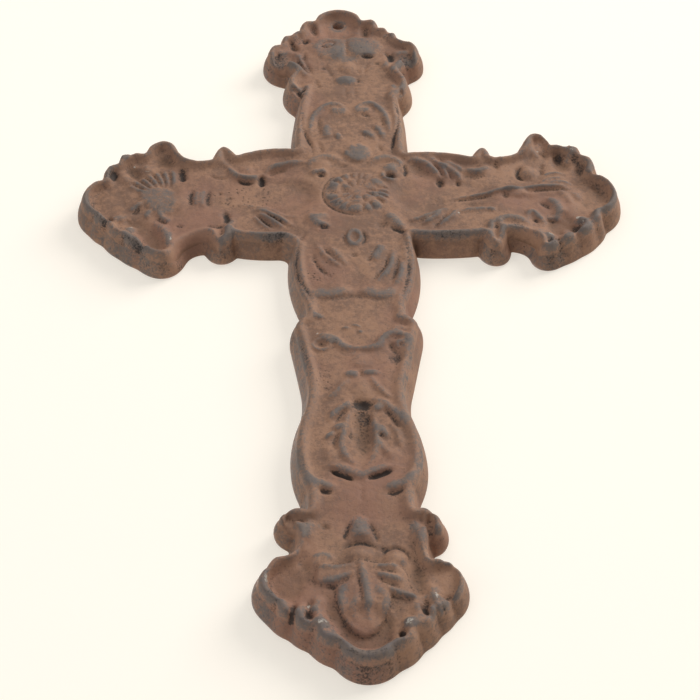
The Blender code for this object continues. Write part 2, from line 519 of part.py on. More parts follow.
def hollow_corners():
    """The outline of the hollow behind: the cross again, plainer, with square shoulders eased by arcs."""
    stem, end = STEM_HOLLOW, END_HOLLOW
    return [(-end + 4, 96, 0.0), (-end, 92, 0.0), (-end, 88, 0.0), (-stem, 78, 0.0), (-stem, stem + 4, -2.0),
            (-stem - 4, stem, 0.0), (-62, stem, 0.0), (-72, end, 0.0), (-86, end - 2, 0.0), (-95, 8, 3.0),
            (-95, -8, 0.0), (-86, -end + 2, 0.0), (-72, -end, 0.0), (-62, -stem, 0.0),
            (-stem - 4, -stem, -2.0),
            (-stem, -stem - 4, 0.0), (-stem, -168, 0.0), (-end - 2, -180, 0.0), (-end - 2, -190, 0.0),
            (-8, -204, 2.5), (8, -204, 0.0), (end + 2, -190, 0.0), (end + 2, -180, 0.0), (stem, -168, 0.0),
            (stem, -stem - 4, -2.0), (stem + 4, -stem, 0.0), (62, -stem, 0.0), (72, -end, 0.0),
            (86, -end + 2, 0.0), (95, -8, 3.0), (95, 8, 0.0), (86, end - 2, 0.0), (72, end, 0.0),
            (62, stem, 0.0),
            (stem + 4, stem, -2.0), (stem, stem + 4, 0.0), (stem, 78, 0.0), (end - 3, 88, 0.0),
            (end - 3, 92, 0.0),
            (end - 7, 96, 0.0)]


def circle(centre, radius, count):
    turns = np.arange(count) * 2 * math.pi / count
    return np.stack([centre[0] + radius * np.cos(turns), centre[1] + radius * np.sin(turns)], axis=1)


def in_place(points, depth, unit):
    """Drawing units to metres: right, out of the wall towards the front, up."""
    x = (points[:, 0] - NAIL_HOLE[0]) * unit
    z = (points[:, 1] - NAIL_HOLE[1]) * unit
    return np.stack([x, -depth * np.ones(len(points)), z], axis=1)


def build_cross():
    rim = outline_points(OUTLINE)
    count = len(rim)
    base = flared(rim, WALL_FLARE)
    unit = HEIGHT / np.ptp(base[:, 1])
    hole_radius = NAIL_HOLE_DIAMETER / 2 / unit
    hole = circle(NAIL_HOLE, hole_radius, HOLE_SIDES)
    hollow = outline_points(hollow_corners())
    floor = hollow - outward(hollow, 0) * HOLLOW_DRAFT / unit
    grid = grid_points(rim, [(NAIL_HOLE, hole_radius)], CARVING_GRID, 0.45 * CARVING_GRID)

    front = np.concatenate([rim, hole, grid])
    edge = distance_to(rim, front[:, 0], front[:, 1])
    edge[:count] = 0
    height = front_height(front[:, 0], front[:, 1], edge)
    parts = [in_place(front, height * DEPTH_UNIT, unit), in_place(base, 0.0, unit), in_place(hole, 0.0, unit),
             in_place(hollow, 0.0, unit), in_place(floor, HOLLOW_DEPTH, unit)]
    first = np.cumsum([0] + [len(part) for part in parts])
    faces = list(triangulate([rim, hole], grid))

    def ring(start_a, start_b, size):
        for k in range(size):
            after = (k + 1) % size
            faces.append((start_a + k, start_a + after, start_b + after))
            faces.append((start_a + k, start_b + after, start_b + k))

    def behind(loops, starts):
        places = [start + k for loop, start in zip(loops, starts) for k in range(len(loop))]
        for a, b, c in triangulate(loops, []):
            faces.append((places[a], places[c], places[b]))

    ring(first[1], 0, count)
    ring(count, first[2], HOLE_SIDES)
    behind([base, hole, hollow], first[1:4])
    ring(first[4], first[3], len(hollow))
    behind([floor], [first[4]])

    verts = np.concatenate(parts)
    mesh = bpy.data.meshes.new("cross")
    mesh.from_pydata(verts.tolist(), [], faces)
    mesh.update()
    cross = bpy.data.objects.new("cross", mesh)
    bpy.context.scene.collection.objects.link(cross)
    mesh.shade_smooth()
    mesh.set_sharp_from_angle(angle=math.radians(50))
    group = cross.vertex_groups.new(name="carving")
    group.add([int(k) for k in range(count + HOLE_SIDES, len(front))], 1.0, "REPLACE")
    thin = cross.modifiers.new("thin out", "DECIMATE")
    thin.ratio = min(1.0, (SURFACE_TRIANGLES + len(faces) - len(front) * 2) / len(faces))
    thin.vertex_group = "carving"
    return cross


def rust_material():
    material = bpy.data.materials.new("cast_iron_rust")
    material.use_nodes = True
    shader = material.node_tree.nodes["Principled BSDF"]
    shader.inputs["Base Color"].default_value = RUST
    shader.inputs["Roughness"].default_value = 0.72
    shader.inputs["Metallic"].default_value = 0.15
    return material


def main():
    for item in list(bpy.data.objects):
        bpy.data.objects.remove(item)
    cross = build_cross()
    cross.data.materials.append(rust_material())


main()
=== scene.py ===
"""The cast iron wall cross: the fine carving, the rusty finish, and the light and camera that show it.

The cross hangs upright with its front towards -Y. Its free form is drawn as in the CAD source, in drawing
units from the middle of the crossing: right, up, and out of the wall.
"""
import math

import bpy
import numpy as np
from mathutils import Matrix, Vector, noise
from mathutils.geometry import delaunay_2d_cdt
from mathutils.kdtree import KDTree


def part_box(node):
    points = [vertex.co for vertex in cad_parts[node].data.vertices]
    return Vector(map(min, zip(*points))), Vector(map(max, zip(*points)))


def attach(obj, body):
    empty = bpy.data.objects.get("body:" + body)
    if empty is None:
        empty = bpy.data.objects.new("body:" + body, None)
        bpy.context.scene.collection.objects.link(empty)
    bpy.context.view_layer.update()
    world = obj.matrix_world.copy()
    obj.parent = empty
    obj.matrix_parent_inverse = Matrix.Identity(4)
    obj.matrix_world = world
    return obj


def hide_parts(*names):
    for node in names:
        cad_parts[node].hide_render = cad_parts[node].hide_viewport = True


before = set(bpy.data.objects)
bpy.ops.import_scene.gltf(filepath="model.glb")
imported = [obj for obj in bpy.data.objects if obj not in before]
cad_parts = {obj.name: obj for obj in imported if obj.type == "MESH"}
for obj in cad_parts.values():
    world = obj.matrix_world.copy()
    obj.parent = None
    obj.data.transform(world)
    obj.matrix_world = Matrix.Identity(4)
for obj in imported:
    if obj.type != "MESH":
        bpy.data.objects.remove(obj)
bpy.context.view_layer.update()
CAD_LOW, CAD_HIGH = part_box("cross")

# Drawing units
DRAWN_THICKNESS = 12.0
NAIL_HOLE = (-4.0, 117.0)
NAIL_HOLE_RADIUS = 2.65
WALL_FLARE = 2.2
FLUTE_DEPTH = 0.55
EDGE_ROUND = 1.3
STEM_HOLLOW = 14.0
END_HOLLOW = 19.0
HOLLOW_DEPTH = 3.0
HOLLOW_DRAFT = 1.2

# The plain form of the front: depths over the back plane, and where the arms and the ends begin
FIELD_LEVEL = 9.6
ARM_DROP = 0.9
END_DROP = 0.7
STEM_CROWN = 0.8
RIM_HEIGHT = 1.9
RIM_CENTRE = 2.1
RIM_SPREAD = 1.9
ARM_START = 16.0
SIDE_END_START = 60.0
TOP_END_START = 64.0
FOOT_START = -150.0
LEVEL_BLEND = 12.0
SIDE_END_BLEND = 14.0
HALF_STEM = 22.0
ARM_RIM_RISE = 0.5
END_RIM_RISE = 1.2
SOFT_TOP = 1.0
SOFT_TOP_RISE = 0.9

# The cast skin, and the broken line of wear along the near rim
SKIN_ROUGHNESS = 0.11
SKIN_SCALE = 0.33
SKIN_OCTAVES = 4
WORN_RIM_CENTRE = 1.4
WORN_RIM_SPREAD = 1.8
WORN_RIM_WEAR = 0.6
WORN_RIM_SOOT = 0.45
WORN_RIM_BREAKS = 0.09

# How far a stroke reaches in its own widths, how soon it fades in, how blunt and how thin its ends are
STROKE_REACH = 2.3
STROKE_FADE = 2.6
STROKE_BLUNT = 0.12
STROKE_THIN = 0.6

# How much wider and lower a ridge, a groove and a hollow are cut than the carvings give them
RIDGE_SPREAD = 1.45
RIDGE_RISE = 0.95
GROOVE_SPREAD = 1.2
GROOVE_FALL = 0.68
GROOVE_SOOT = 0.95
HOLLOW_SPREAD = 1.2
HOLLOW_FALL = 0.6
HOLLOW_SOOT = 0.65

# Mesh fineness in drawing units
RIM_STEP = 0.58
GRID_STEP = 0.62
HOLLOW_STEP = 4.0
RIM_RINGS = (0.3, 0.75, 1.25)
HOLE_SIDES = 40
STRAIGHT_BOW = 0.02

# The side wall: its rows of points, how far its normals, flutes and foot are blurred, and its stains by
# place, half sizes, wear and soot
WALL_ROWS = 9
WALL_CURVE = 1.4
WALL_BLUR = 6
FLUTE_BLUR = 70
STRIPE_SCALE = 0.34
WALL_ROUGHNESS = 0.10
WALL_SKIN_SCALE = 0.3
RIM_STAIN_REACH = 0.13
FLARE_BLUR = 16
FOOT_BLUR = 18
WALL_STAINS = [((0, -215), (13, 8), 0.2, 0.6), ((-78, -33), (10, 7), 0.4, 0.3),
               ((78.5, -31), (7, 7), 0.5, 0.6), ((-90, -24), (9, 8), 0.4, 0.15),
               ((-50, -27), (6, 6), 0.3, 0.4), ((56, -27), (5, 6), 0.3, 0.2),
               ((-29, 99), (10, 12), 0.2, 0.1), ((-30, -190), (6, 10), 0.3, 0.2),
               ((88, -25), (3, 4), 0, 0.4)]

# How many rounds of averaging a crest and a broad hollow are measured against
CREST_ROUNDS = 14
HOLLOW_ROUNDS = 120

# Colours
RUST_LIGHT = (0.335, 0.190, 0.120, 1.0)
RUST_DARK = (0.200, 0.115, 0.078, 1.0)
RUST_RED = (0.285, 0.146, 0.102, 1.0)
# Painted shade: the deep brown laid into broad hollows
HOLLOW_SHADE_BROWN = (0.120, 0.066, 0.038, 1.0)
# Pale rust with a painted highlight, laid on broad raised parts
PALE_RUST_HIGHLIGHT = (0.380, 0.225, 0.150, 1.0)
# The grey of worn iron, also laid on as painted shade on walls facing left and on the rosette's left side
WORN_GREY = (0.158, 0.132, 0.114, 1.0)
WORN_BLUE = (0.118, 0.115, 0.117, 1.0)
SOOT = (0.028, 0.022, 0.020, 1.0)
CHALK = (0.50, 0.46, 0.40, 1.0)
WALL_PAINT = (0.59, 0.545, 0.485, 1.0)
WALL_GLOW = (1.0, 0.965, 0.88, 1.0)
WALL_GLOW_STRENGTH = 0.50
SKY = (1.0, 0.98, 0.95, 1.0)
SKY_STRENGTH = 0.24

# The finish: scale, detail, roughness and distortion of each noise, the size of the pits, and the bump
GRAIN = (560.0, 6.0, 0.75)
BLOTCHES = (70.0, 6.0, 0.7)
SPECKS = (1250.0, 3.0, 0.65)
CLOUDS = (26.0, 3.0)
RAGS = (480.0, 5.0, 0.8)
FLECKS = (640.0, 5.0, 0.8, 0.5)
PIT_CELLS = 620.0
BUMP_STRENGTH = 0.7
BUMP_DISTANCE = 0.0005

# Each light: its place in metres, its sides, its power and its colour. All of them look at one point
LIGHT_TARGET = (0.0, 0.0, -0.15)
LIGHTS = {"key": ((1.5, -1.15, 1.1), (1.3, 1.3), 46.0, (1.0, 0.98, 0.95)),
          "above": ((-0.2, -1.6, 0.9), (2.4, 2.0), 12.0, (1.0, 0.99, 0.97)),
          "fill": ((-1.2, -1.1, -1.0), (1.7, 1.7), 10.0, (0.98, 0.98, 1.0)),
          "behind": ((-0.3, 1.5, 0.6), (1.2, 1.2), 22.0, (1.0, 1.0, 1.0))}

# The wall behind, in metres: its gap to the back plane and how far it reaches
WALL_GAP = 0.0003
WALL_REACH = 1.6

# The camera of the photograph: its place in metres from the nail hole, its turns and its lens
CAMERA_PLACE = (-0.00839, -0.449, -0.6126)
CAMERA_TURNS = (0.753, -0.0052, -0.0187)
CAMERA_LENS = 85.06
CAMERA_SENSOR = 36.0

# The outline at the front edge, anticlockwise: right, up, and how far the arc to the next corner bows out
TOP_TIP = [(7.4, 118.2, 7.4)]
TOP_LEFT = [(-15.2, 118.2, 1.9), (-21.8, 110.8, 0.8), (-25.4, 108, 1.6), (-29.8, 101.4, 2.4),
            (-35, 91.5, 1.9), (-26.8, 84.2, 0.0), (-23.8, 81.5, 4.2), (-20.7, 63, 0.1), (-22.6, 45, 0.1)]
LEFT_UPPER = [(-22.9, 29.7, 1.9), (-46.6, 26, 0.2), (-49.8, 30.4, 1.3), (-55.8, 30.2, 0.3),
              (-57, 23.6, -0.8), (-67.5, 24.8, -0.4), (-71.8, 32, 1.8), (-80, 34.2, 0.7), (-85.2, 28, 0.5),
              (-90.8, 27.2, 1.3), (-95.6, 21.9, 2.0)]
LEFT_TIP = [(-100.6, 11.8, 6.5)]
LEFT_LOWER = [(-103, -10.2, 0.9), (-97.5, -15.6, 0.9), (-90.5, -23.4, 0.7), (-83.5, -28.6, 0.3),
              (-78, -33.4, 1.6), (-70, -32, 0.3), (-67.3, -26, -1.8), (-57, -21.0, 0.4), (-54, -26, 1.1),
              (-49.5, -26, 0.3), (-46.8, -22.5, 0.8), (-28, -24.2, -0.6)]
STEM_LEFT = [(-23.2, -28, 1.9), (-18.9, -59.5, -0.4), (-18.6, -67, 1.5), (-22.6, -74, -0.1),
             (-18.3, -98, -0.9), (-19.3, -114, 1.1), (-21.8, -134, 0.7), (-18.3, -148.5, -0.4)]
BOTTOM_LEFT = [(-18.4, -157, 1.5), (-25.6, -158.4, 1.9), (-26.2, -163.4, 0.4), (-22.2, -165.8, -0.7),
               (-24.3, -174, 1.4), (-31.7, -180.3, 2.9), (-31.5, -192.5, 0.3), (-28.6, -195.6, 1.2),
               (-22.8, -200, 1.2), (-16.4, -204.6, 1.5)]
BOTTOM_TIP = [(-8.3, -210.7, 5.6)]
BOTTOM_RIGHT = [(10, -212, 1.5), (17.4, -205.3, 1.2), (23.2, -199.5, 1.0), (28.4, -193.8, 0.5),
                (31.4, -191.3, 2.3), (29.6, -179.6, 1.4), (22.6, -177.4, -0.5), (22.2, -168.5, 0.4),
                (26.4, -166.9, 2.1), (24.2, -159.1, 1.4), (18.4, -157.2, -0.4)]
STEM_RIGHT = [(18.4, -148.5, 0.8), (21.9, -134, 1.0), (17.8, -114, -1.0), (18.2, -98, 0.0), (23, -74, 1.9),
              (19, -67, -0.4), (19.2, -60, 2.2), (23.1, -28, 0.0)]
RIGHT_LOWER = [(23, -23.4, 0.9), (50.8, -23, 0.2), (53, -27.7, 1.6), (59.2, -27.8, 0.2), (60.8, -21, -1.9),
               (71.6, -26, 0.1), (72.2, -29.8, 0.9), (76.5, -32, 0.3), (81, -29.2, 0.6), (89, -24.2, 0.8),
               (96, -18, 0.9)]
RIGHT_TIP = [(99.2, -11.5, 7.7)]
RIGHT_UPPER = [(98.9, 13.2, 2.3), (95.3, 25, 1.1), (91.6, 29.6, 1.4), (88.7, 30.2, 0.5), (83.2, 30.6, 0.5),
               (80, 36.8, 1.6), (73, 36.2, 0.5), (69.3, 28.5, -1.2), (57.5, 24, 0.2), (56.7, 27.9, 1.2),
               (52, 28.5, 0.3), (49.4, 24, 1.7)]
TOP_RIGHT = [(22.2, 26.6, 0.1), (21.8, 45, 0.3), (20.6, 62.5, 4.3), (21.8, 81.4, 0.0), (25.6, 86.6, 1.2),
             (31.2, 92.6, 2.4), (25.4, 103.3, -0.4), (22.4, 105.4, 1.2), (18.3, 110.4, 1.6),
             (14.2, 112.6, 2.4)]
OUTLINE = (TOP_TIP + TOP_LEFT + LEFT_UPPER + LEFT_TIP + LEFT_LOWER + STEM_LEFT + BOTTOM_LEFT + BOTTOM_TIP
           + BOTTOM_RIGHT + STEM_RIGHT + RIGHT_LOWER + RIGHT_TIP + RIGHT_UPPER + TOP_RIGHT)


def arc_points(start, end, bow, step):
    """Points along one arc at about equal steps, without its last one."""
    (x0, y0), (x1, y1) = start, end
    chord = math.hypot(x1 - x0, y1 - y0)
    if abs(bow) < STRAIGHT_BOW:
        count = max(1, round(chord / step))
        return [(x0 + (x1 - x0) * k / count, y0 + (y1 - y0) * k / count) for k in range(count)]
    radius = (chord * chord / 4 + bow * bow) / (2 * abs(bow))
    half_angle = 2 * math.atan2(2 * abs(bow), chord)
    count = max(2, round(2 * half_angle * radius / step))
    side = 1 if bow > 0 else -1
    out_x, out_y = (y1 - y0) / chord * side, (x0 - x1) / chord * side
    centre_x = (x0 + x1) / 2 + out_x * (abs(bow) - radius)
    centre_y = (y0 + y1) / 2 + out_y * (abs(bow) - radius)
    points = []
    for k in range(count):
        turn = half_angle * (2 * k / count - 1)
        along = math.sin(turn) * radius
        out = math.cos(turn) * radius
        points.append((centre_x + out_x * out + (x1 - x0) / chord * along,
                       centre_y + out_y * out + (y1 - y0) / chord * along))
    return points


def outline_points(corners, step):
    """A closed outline from its corners and the bow of each arc."""
    points = []
    for (x0, y0, bow), (x1, y1, _) in zip(corners, corners[1:] + corners[:1]):
        points += arc_points((x0, y0), (x1, y1), bow, step)
    return np.array(points)


def smoothed(values, rounds):
    """Values along a closed outline, evened out."""
    for _ in range(rounds):
        values = (np.roll(values, 1, axis=0) + 2 * values + np.roll(values, -1, axis=0)) / 4
    return values


def outward(points, blur):
    """Outward unit normals of a closed anticlockwise outline, blurred along it."""
    side = np.roll(points, -1, axis=0) - np.roll(points, 1, axis=0)
    normal = smoothed(np.stack([side[:, 1], -side[:, 0]], axis=1), blur)
    return normal / np.linalg.norm(normal, axis=1, keepdims=True)


def flared(points, distance):
    """The outline grown outwards. Its narrow creases fade as it grows."""
    return smoothed(points + outward(points, FLARE_BLUR) * distance, FOOT_BLUR)


def smooth(value):
    """A soft step from 0 to 1."""
    value = np.clip(value, 0.0, 1.0)
    return value * value * (3 - 2 * value)


def curve_through(points, step=0.5):
    """A smooth curve through a few points, as samples."""
    guide = np.array([points[0]] + list(points) + [points[-1]], float)
    samples = []
    for a, b, c, d in zip(guide, guide[1:], guide[2:], guide[3:]):
        count = max(2, math.ceil(np.linalg.norm(c - b) / step))
        for t in np.arange(count) / count:
            samples.append(0.5 * (2 * b + (c - a) * t + (2 * a - 5 * b + 4 * c - d) * t * t
                                  + (3 * b - a - 3 * c + d) * t ** 3))
    samples.append(guide[-1])
    return np.array(samples)


def noise_at(x, y, scale, seed):
    """Smooth noise at each point."""
    return np.array([noise.noise(Vector((a * scale, b * scale, seed))) for a, b in zip(x, y)])


def rough_at(x, y, scale, seed, octaves):
    """Fractal noise at each point."""
    places = [Vector((a * scale, b * scale, seed)) for a, b in zip(x, y)]
    return np.array([noise.fractal(place, 0.9, 2.1, octaves) for place in places])


def each(method, *rows):
    """Calls a method with each row of values."""
    for row in rows:
        method(*row)


class Relief:
    """The height of the front over the back plane and how its finish has worn, form by form.

    An oval form is given by its centre, its two half sizes, what it changes and its turn in degrees. A
    stroke follows a curve through a few points.
    """

    def __init__(self, x, y, edge, level):
        self.x, self.y, self.edge = x, y, edge
        self.height = level
        self.worn, self.soot, self.chalk, self.pitted = np.zeros((4, len(x)))

    def polar(self, centre, size, angle=0):
        """How far each point is from a centre, as a share of an oval's two half sizes."""
        c, s = math.cos(math.radians(angle)), math.sin(math.radians(angle))
        dx, dy = self.x - centre[0], self.y - centre[1]
        return np.hypot((dx * c + dy * s) / size[0], (dy * c - dx * s) / size[1])

    def rounded(self, centre, size, angle):
        """The share of a rounded form at each point: 1 in the middle of its oval, 0 outside."""
        return np.clip(1 - self.polar(centre, size, angle) ** 2, 0, None) ** 1.5

    def patch(self, centre, size, angle, soft=0.6):
        """The share of a level patch at each point, with a soft edge inside its oval."""
        return smooth((1 - self.polar(centre, size, angle)) / soft)

    def near(self, curve, margin):
        """Which points lie in the box round a curve."""
        low, high = curve.min(axis=0) - margin, curve.max(axis=0) + margin
        across = (self.x > low[0]) & (self.x < high[0])
        return np.nonzero(across & (self.y > low[1]) & (self.y < high[1]))[0]

    def boss(self, centre, size, height, worn=0, soot=0, angle=0):
        share = self.rounded(centre, size, angle)
        self.height += height * share
        self.worn += worn * share ** 0.6
        self.soot += soot * share ** 0.8

    def hollow(self, centre, size, depth, soot=0, angle=0):
        share = self.rounded(centre, (HOLLOW_SPREAD * size[0], HOLLOW_SPREAD * size[1]), angle)
        self.height -= HOLLOW_FALL * depth * share
        self.soot += HOLLOW_SOOT * soot * share ** 0.8

    def dish(self, centre, size, floor, angle=0, soft=0.45):
        """Brings the surface to a level inside an oval, whatever was carved there before."""
        self.height += self.patch(centre, size, angle, soft) * (floor - self.height)

    def ring(self, centre, size, width, height, angle=0, worn=0, soot=0):
        """An oval ridge or groove."""
        share = np.exp(-((self.polar(centre, size, angle) - 1) * min(size) / width) ** 2)
        self.height += height * share
        self.worn += worn * share
        self.soot += soot * share

    def stain(self, centre, size, worn, soot=0, angle=0):
        share = self.patch(centre, size, angle)
        self.worn += worn * share
        self.soot += soot * share

    def scuff(self, centre, size, chalk, angle=0):
        self.chalk += chalk * self.patch(centre, size, angle)

    def pits(self, centre, size, pitted, angle=0):
        self.pitted += pitted * self.patch(centre, size, angle)

    def stroke(self, points, width, height, worn=0, soot=0):
        """A ridge along a curve, or a groove when the height is negative, thinner at its ends."""
        curve = curve_through(points)
        chosen = self.near(curve, STROKE_REACH * width)
        if len(chosen) == 0:
            return
        place = np.stack([self.x[chosen], self.y[chosen]], axis=1)
        best = np.full(len(chosen), math.inf)
        where = np.zeros(len(chosen))
        for k, (a, b) in enumerate(zip(curve, curve[1:])):
            run = b - a
            t = np.clip(((place - a) @ run) / max(run @ run, 1e-9), 0, 1)
            away = np.hypot(place[:, 0] - a[0] - run[0] * t, place[:, 1] - a[1] - run[1] * t)
            closer = away < best
            best[closer] = away[closer]
            where[closer] = (k + t[closer]) / (len(curve) - 1)
        fade = smooth(STROKE_FADE * where + STROKE_BLUNT) * smooth(STROKE_FADE * (1 - where) + STROKE_BLUNT)
        share = fade * np.exp(-(best / (width * (STROKE_THIN + (1 - STROKE_THIN) * fade))) ** 2)
        self.height[chosen] += height * share
        self.worn[chosen] += worn * share
        self.soot[chosen] += soot * share

    def ridge(self, points, width, height, worn=0, soot=0):
        self.stroke(points, RIDGE_SPREAD * width, RIDGE_RISE * height, worn, soot)

    def groove(self, points, width, depth, soot, worn=0):
        self.stroke(points, GROOVE_SPREAD * width, -GROOVE_FALL * depth, worn, GROOVE_SOOT * soot)

    def ridges(self, values, *curves):
        """Ridges that share their width, height, wear and soot."""
        for points in curves:
            self.ridge(points, *values)

    def grooves(self, values, *curves):
        """Grooves that share their width, depth, soot and wear."""
        for points in curves:
            self.groove(points, *values)

    def shape(self, points, height, soft, worn=0, line=0):
        """A broad raised or sunk form inside a closed curve, with a soft side and a dark line round it."""
        curve = curve_through(points + points[:1])[:-1]
        chosen = self.near(curve, 2 * soft)
        x, y = self.x[chosen], self.y[chosen]
        away, _ = nearest_on(curve, x, y)
        depth_in = np.where(inside(curve, np.stack([x, y], axis=1)), away, -away)
        share = smooth(0.5 + depth_in / (2 * soft))
        self.height[chosen] += height * share
        self.worn[chosen] += worn * share
        self.soot[chosen] += line * np.exp(-((depth_in + 0.5 * soft) / (0.6 * soft)) ** 2)


def ground(x, y, edge):
    """The plain form: a level field, a rolled rim, deeper arms and dished ends."""
    arm = smooth((np.abs(x) - ARM_START) / LEVEL_BLEND)
    side_end = smooth((np.abs(x) - SIDE_END_START) / SIDE_END_BLEND)
    stem_end = smooth((y - TOP_END_START) / LEVEL_BLEND) + smooth((FOOT_START - y) / LEVEL_BLEND)
    end = np.clip(side_end + stem_end, 0, 1)
    level = FIELD_LEVEL - ARM_DROP * arm - END_DROP * end
    crown = STEM_CROWN * (1 - arm) * (1 - end) * np.cos(np.clip(np.abs(x) / HALF_STEM, 0, 1) * math.pi / 2)
    rim_rise = RIM_HEIGHT + ARM_RIM_RISE * arm + END_RIM_RISE * end
    return level + crown + rim_rise * np.exp(-((edge - RIM_CENTRE) / RIM_SPREAD) ** 2)


def carve_tips(relief):
    """The broad dish inside each end's tip, with the worn crest of its rim on the near side."""
    each(relief.dish, ((-4, 113), (9.5, 10.5), 7.7), ((-97, -0.5), (9.5, 10), 7.6),
         ((97, 0.5), (9, 10.5), 7.6), ((0.5, -203), (10.5, 9), 7.6))
    each(relief.ridges,
         ((1.3, 0.5, 0.9, 0.5), [(-106, 4), (-105.5, -1), (-103, -6), (-100, -10), (-96, -12)]),
         ((1.2, 0.5, 0.9, 0.2), [(105.8, 4), (104.8, -2), (101.3, -7), (96.7, -10.2), (91, -12.4)]),
         ((1.2, 0.5, 0.9, 0.5), [(-10.5, -207), (-6.2, -211.8), (-1.5, -213.6), (3.2, -213.4), (7.9, -212),
          (12.6, -208.6)]))


def carve_ears(relief):
    """The scooped lobes beside each tip, and the rolled buds nearer the crossing."""
    each(relief.dish, ((-29, 90), (4.4, 7), 8.2, -15), ((25, 91), (4.4, 6.5), 8.4, 20),
         ((-78, 24), (4.8, 7), 8.4, -10), ((-78.5, -21), (4.4, 9.5), 7.8, -25), ((79, 31), (3, 5), 9),
         ((81.5, -17), (5.2, 5.5), 7.6, 30), ((-26.5, -186), (4.8, 6), 7.9, 20),
         ((27.6, -187), (3.6, 8), 8.2, -10), ((-22.5, 66.5), (2.4, 4.5), 8.8, 20),
         ((22.3, 63), (2, 5), 9.2), ((-24, -162), (2.4, 3.6), 8.8), ((22.8, -165), (1.9, 6), 8.4))
    each(relief.ridges,
         ((1.4, 1.4, 0.5, 0.6), [(-49, -10), (-48.6, -15), (-49.6, -22)]),
         ((1.1, 0.9, 0.6), [(54, -14), (54.6, -20), (54.4, -26)], [(57.6, -14), (58.6, -20), (58.2, -26)]),
         ((1.4, 1.1, 0.2), [(53, 18), (54, 23), (54.5, 28)], [(-51, 19), (-53, 24), (-53, 29)]))
    relief.grooves((0.9, 0.5, 0.4), [(56.3, -16), (56.6, -20)])


def carve_scallops(relief):
    """Hollows behind the small scallops, and worn knobs where the rim's creases end."""
    hollows = [((-14.7, 111.5), (2, 3.8), 8, 0.5), ((-18.5, 104), (2.2, 1.7), 20, 0.7),
               ((-24, 100.5), (2, 3.6), 40, 0.3), ((8, 110.5), (2.7, 4.4), -8, 0.4),
               ((18, 108), (2.8, 1.6), -10, 0.6), ((-97, 14.5), (2.4, 3.6), -15, 0.7),
               ((-88.5, 17), (3, 5.4), 38, 0.4), ((-96, -12), (1.5, 2.4), 20, 0.3),
               ((93.8, 17), (2.6, 5), -20, 0.6), ((85, 25), (2.6, 4), 0, 0.5),
               ((-19, -201), (1.2, 2.8), -20, 0.9), ((-22.8, -197.5), (1.2, 2.8), -20, 0.8),
               ((19.3, -198), (1, 2.8), 25, 0.8), ((22.8, -197.5), (1, 2.4), 25, 0.7),
               ((12, -206), (1.2, 2), 10, 0.9), ((89.6, -18), (1.4, 4.4), -25, 0.6)]
    for centre, size, angle, soot in hollows:
        relief.hollow(centre, size, 2.2, soot, angle)
    knobs = [((-13, -203), 0.6), ((14, -202.8), 0.8), ((-17.3, -197), 0.6), ((-92, 23.7), 0.2),
             ((-87, -16.5), 0.7), ((90, -13.6), 0.6), ((90.5, 25), 0.3), ((77.5, -23.5), 0.6)]
    for centre, worn in knobs:
        relief.boss(centre, (2.8, 2.8), 1.2, worn)


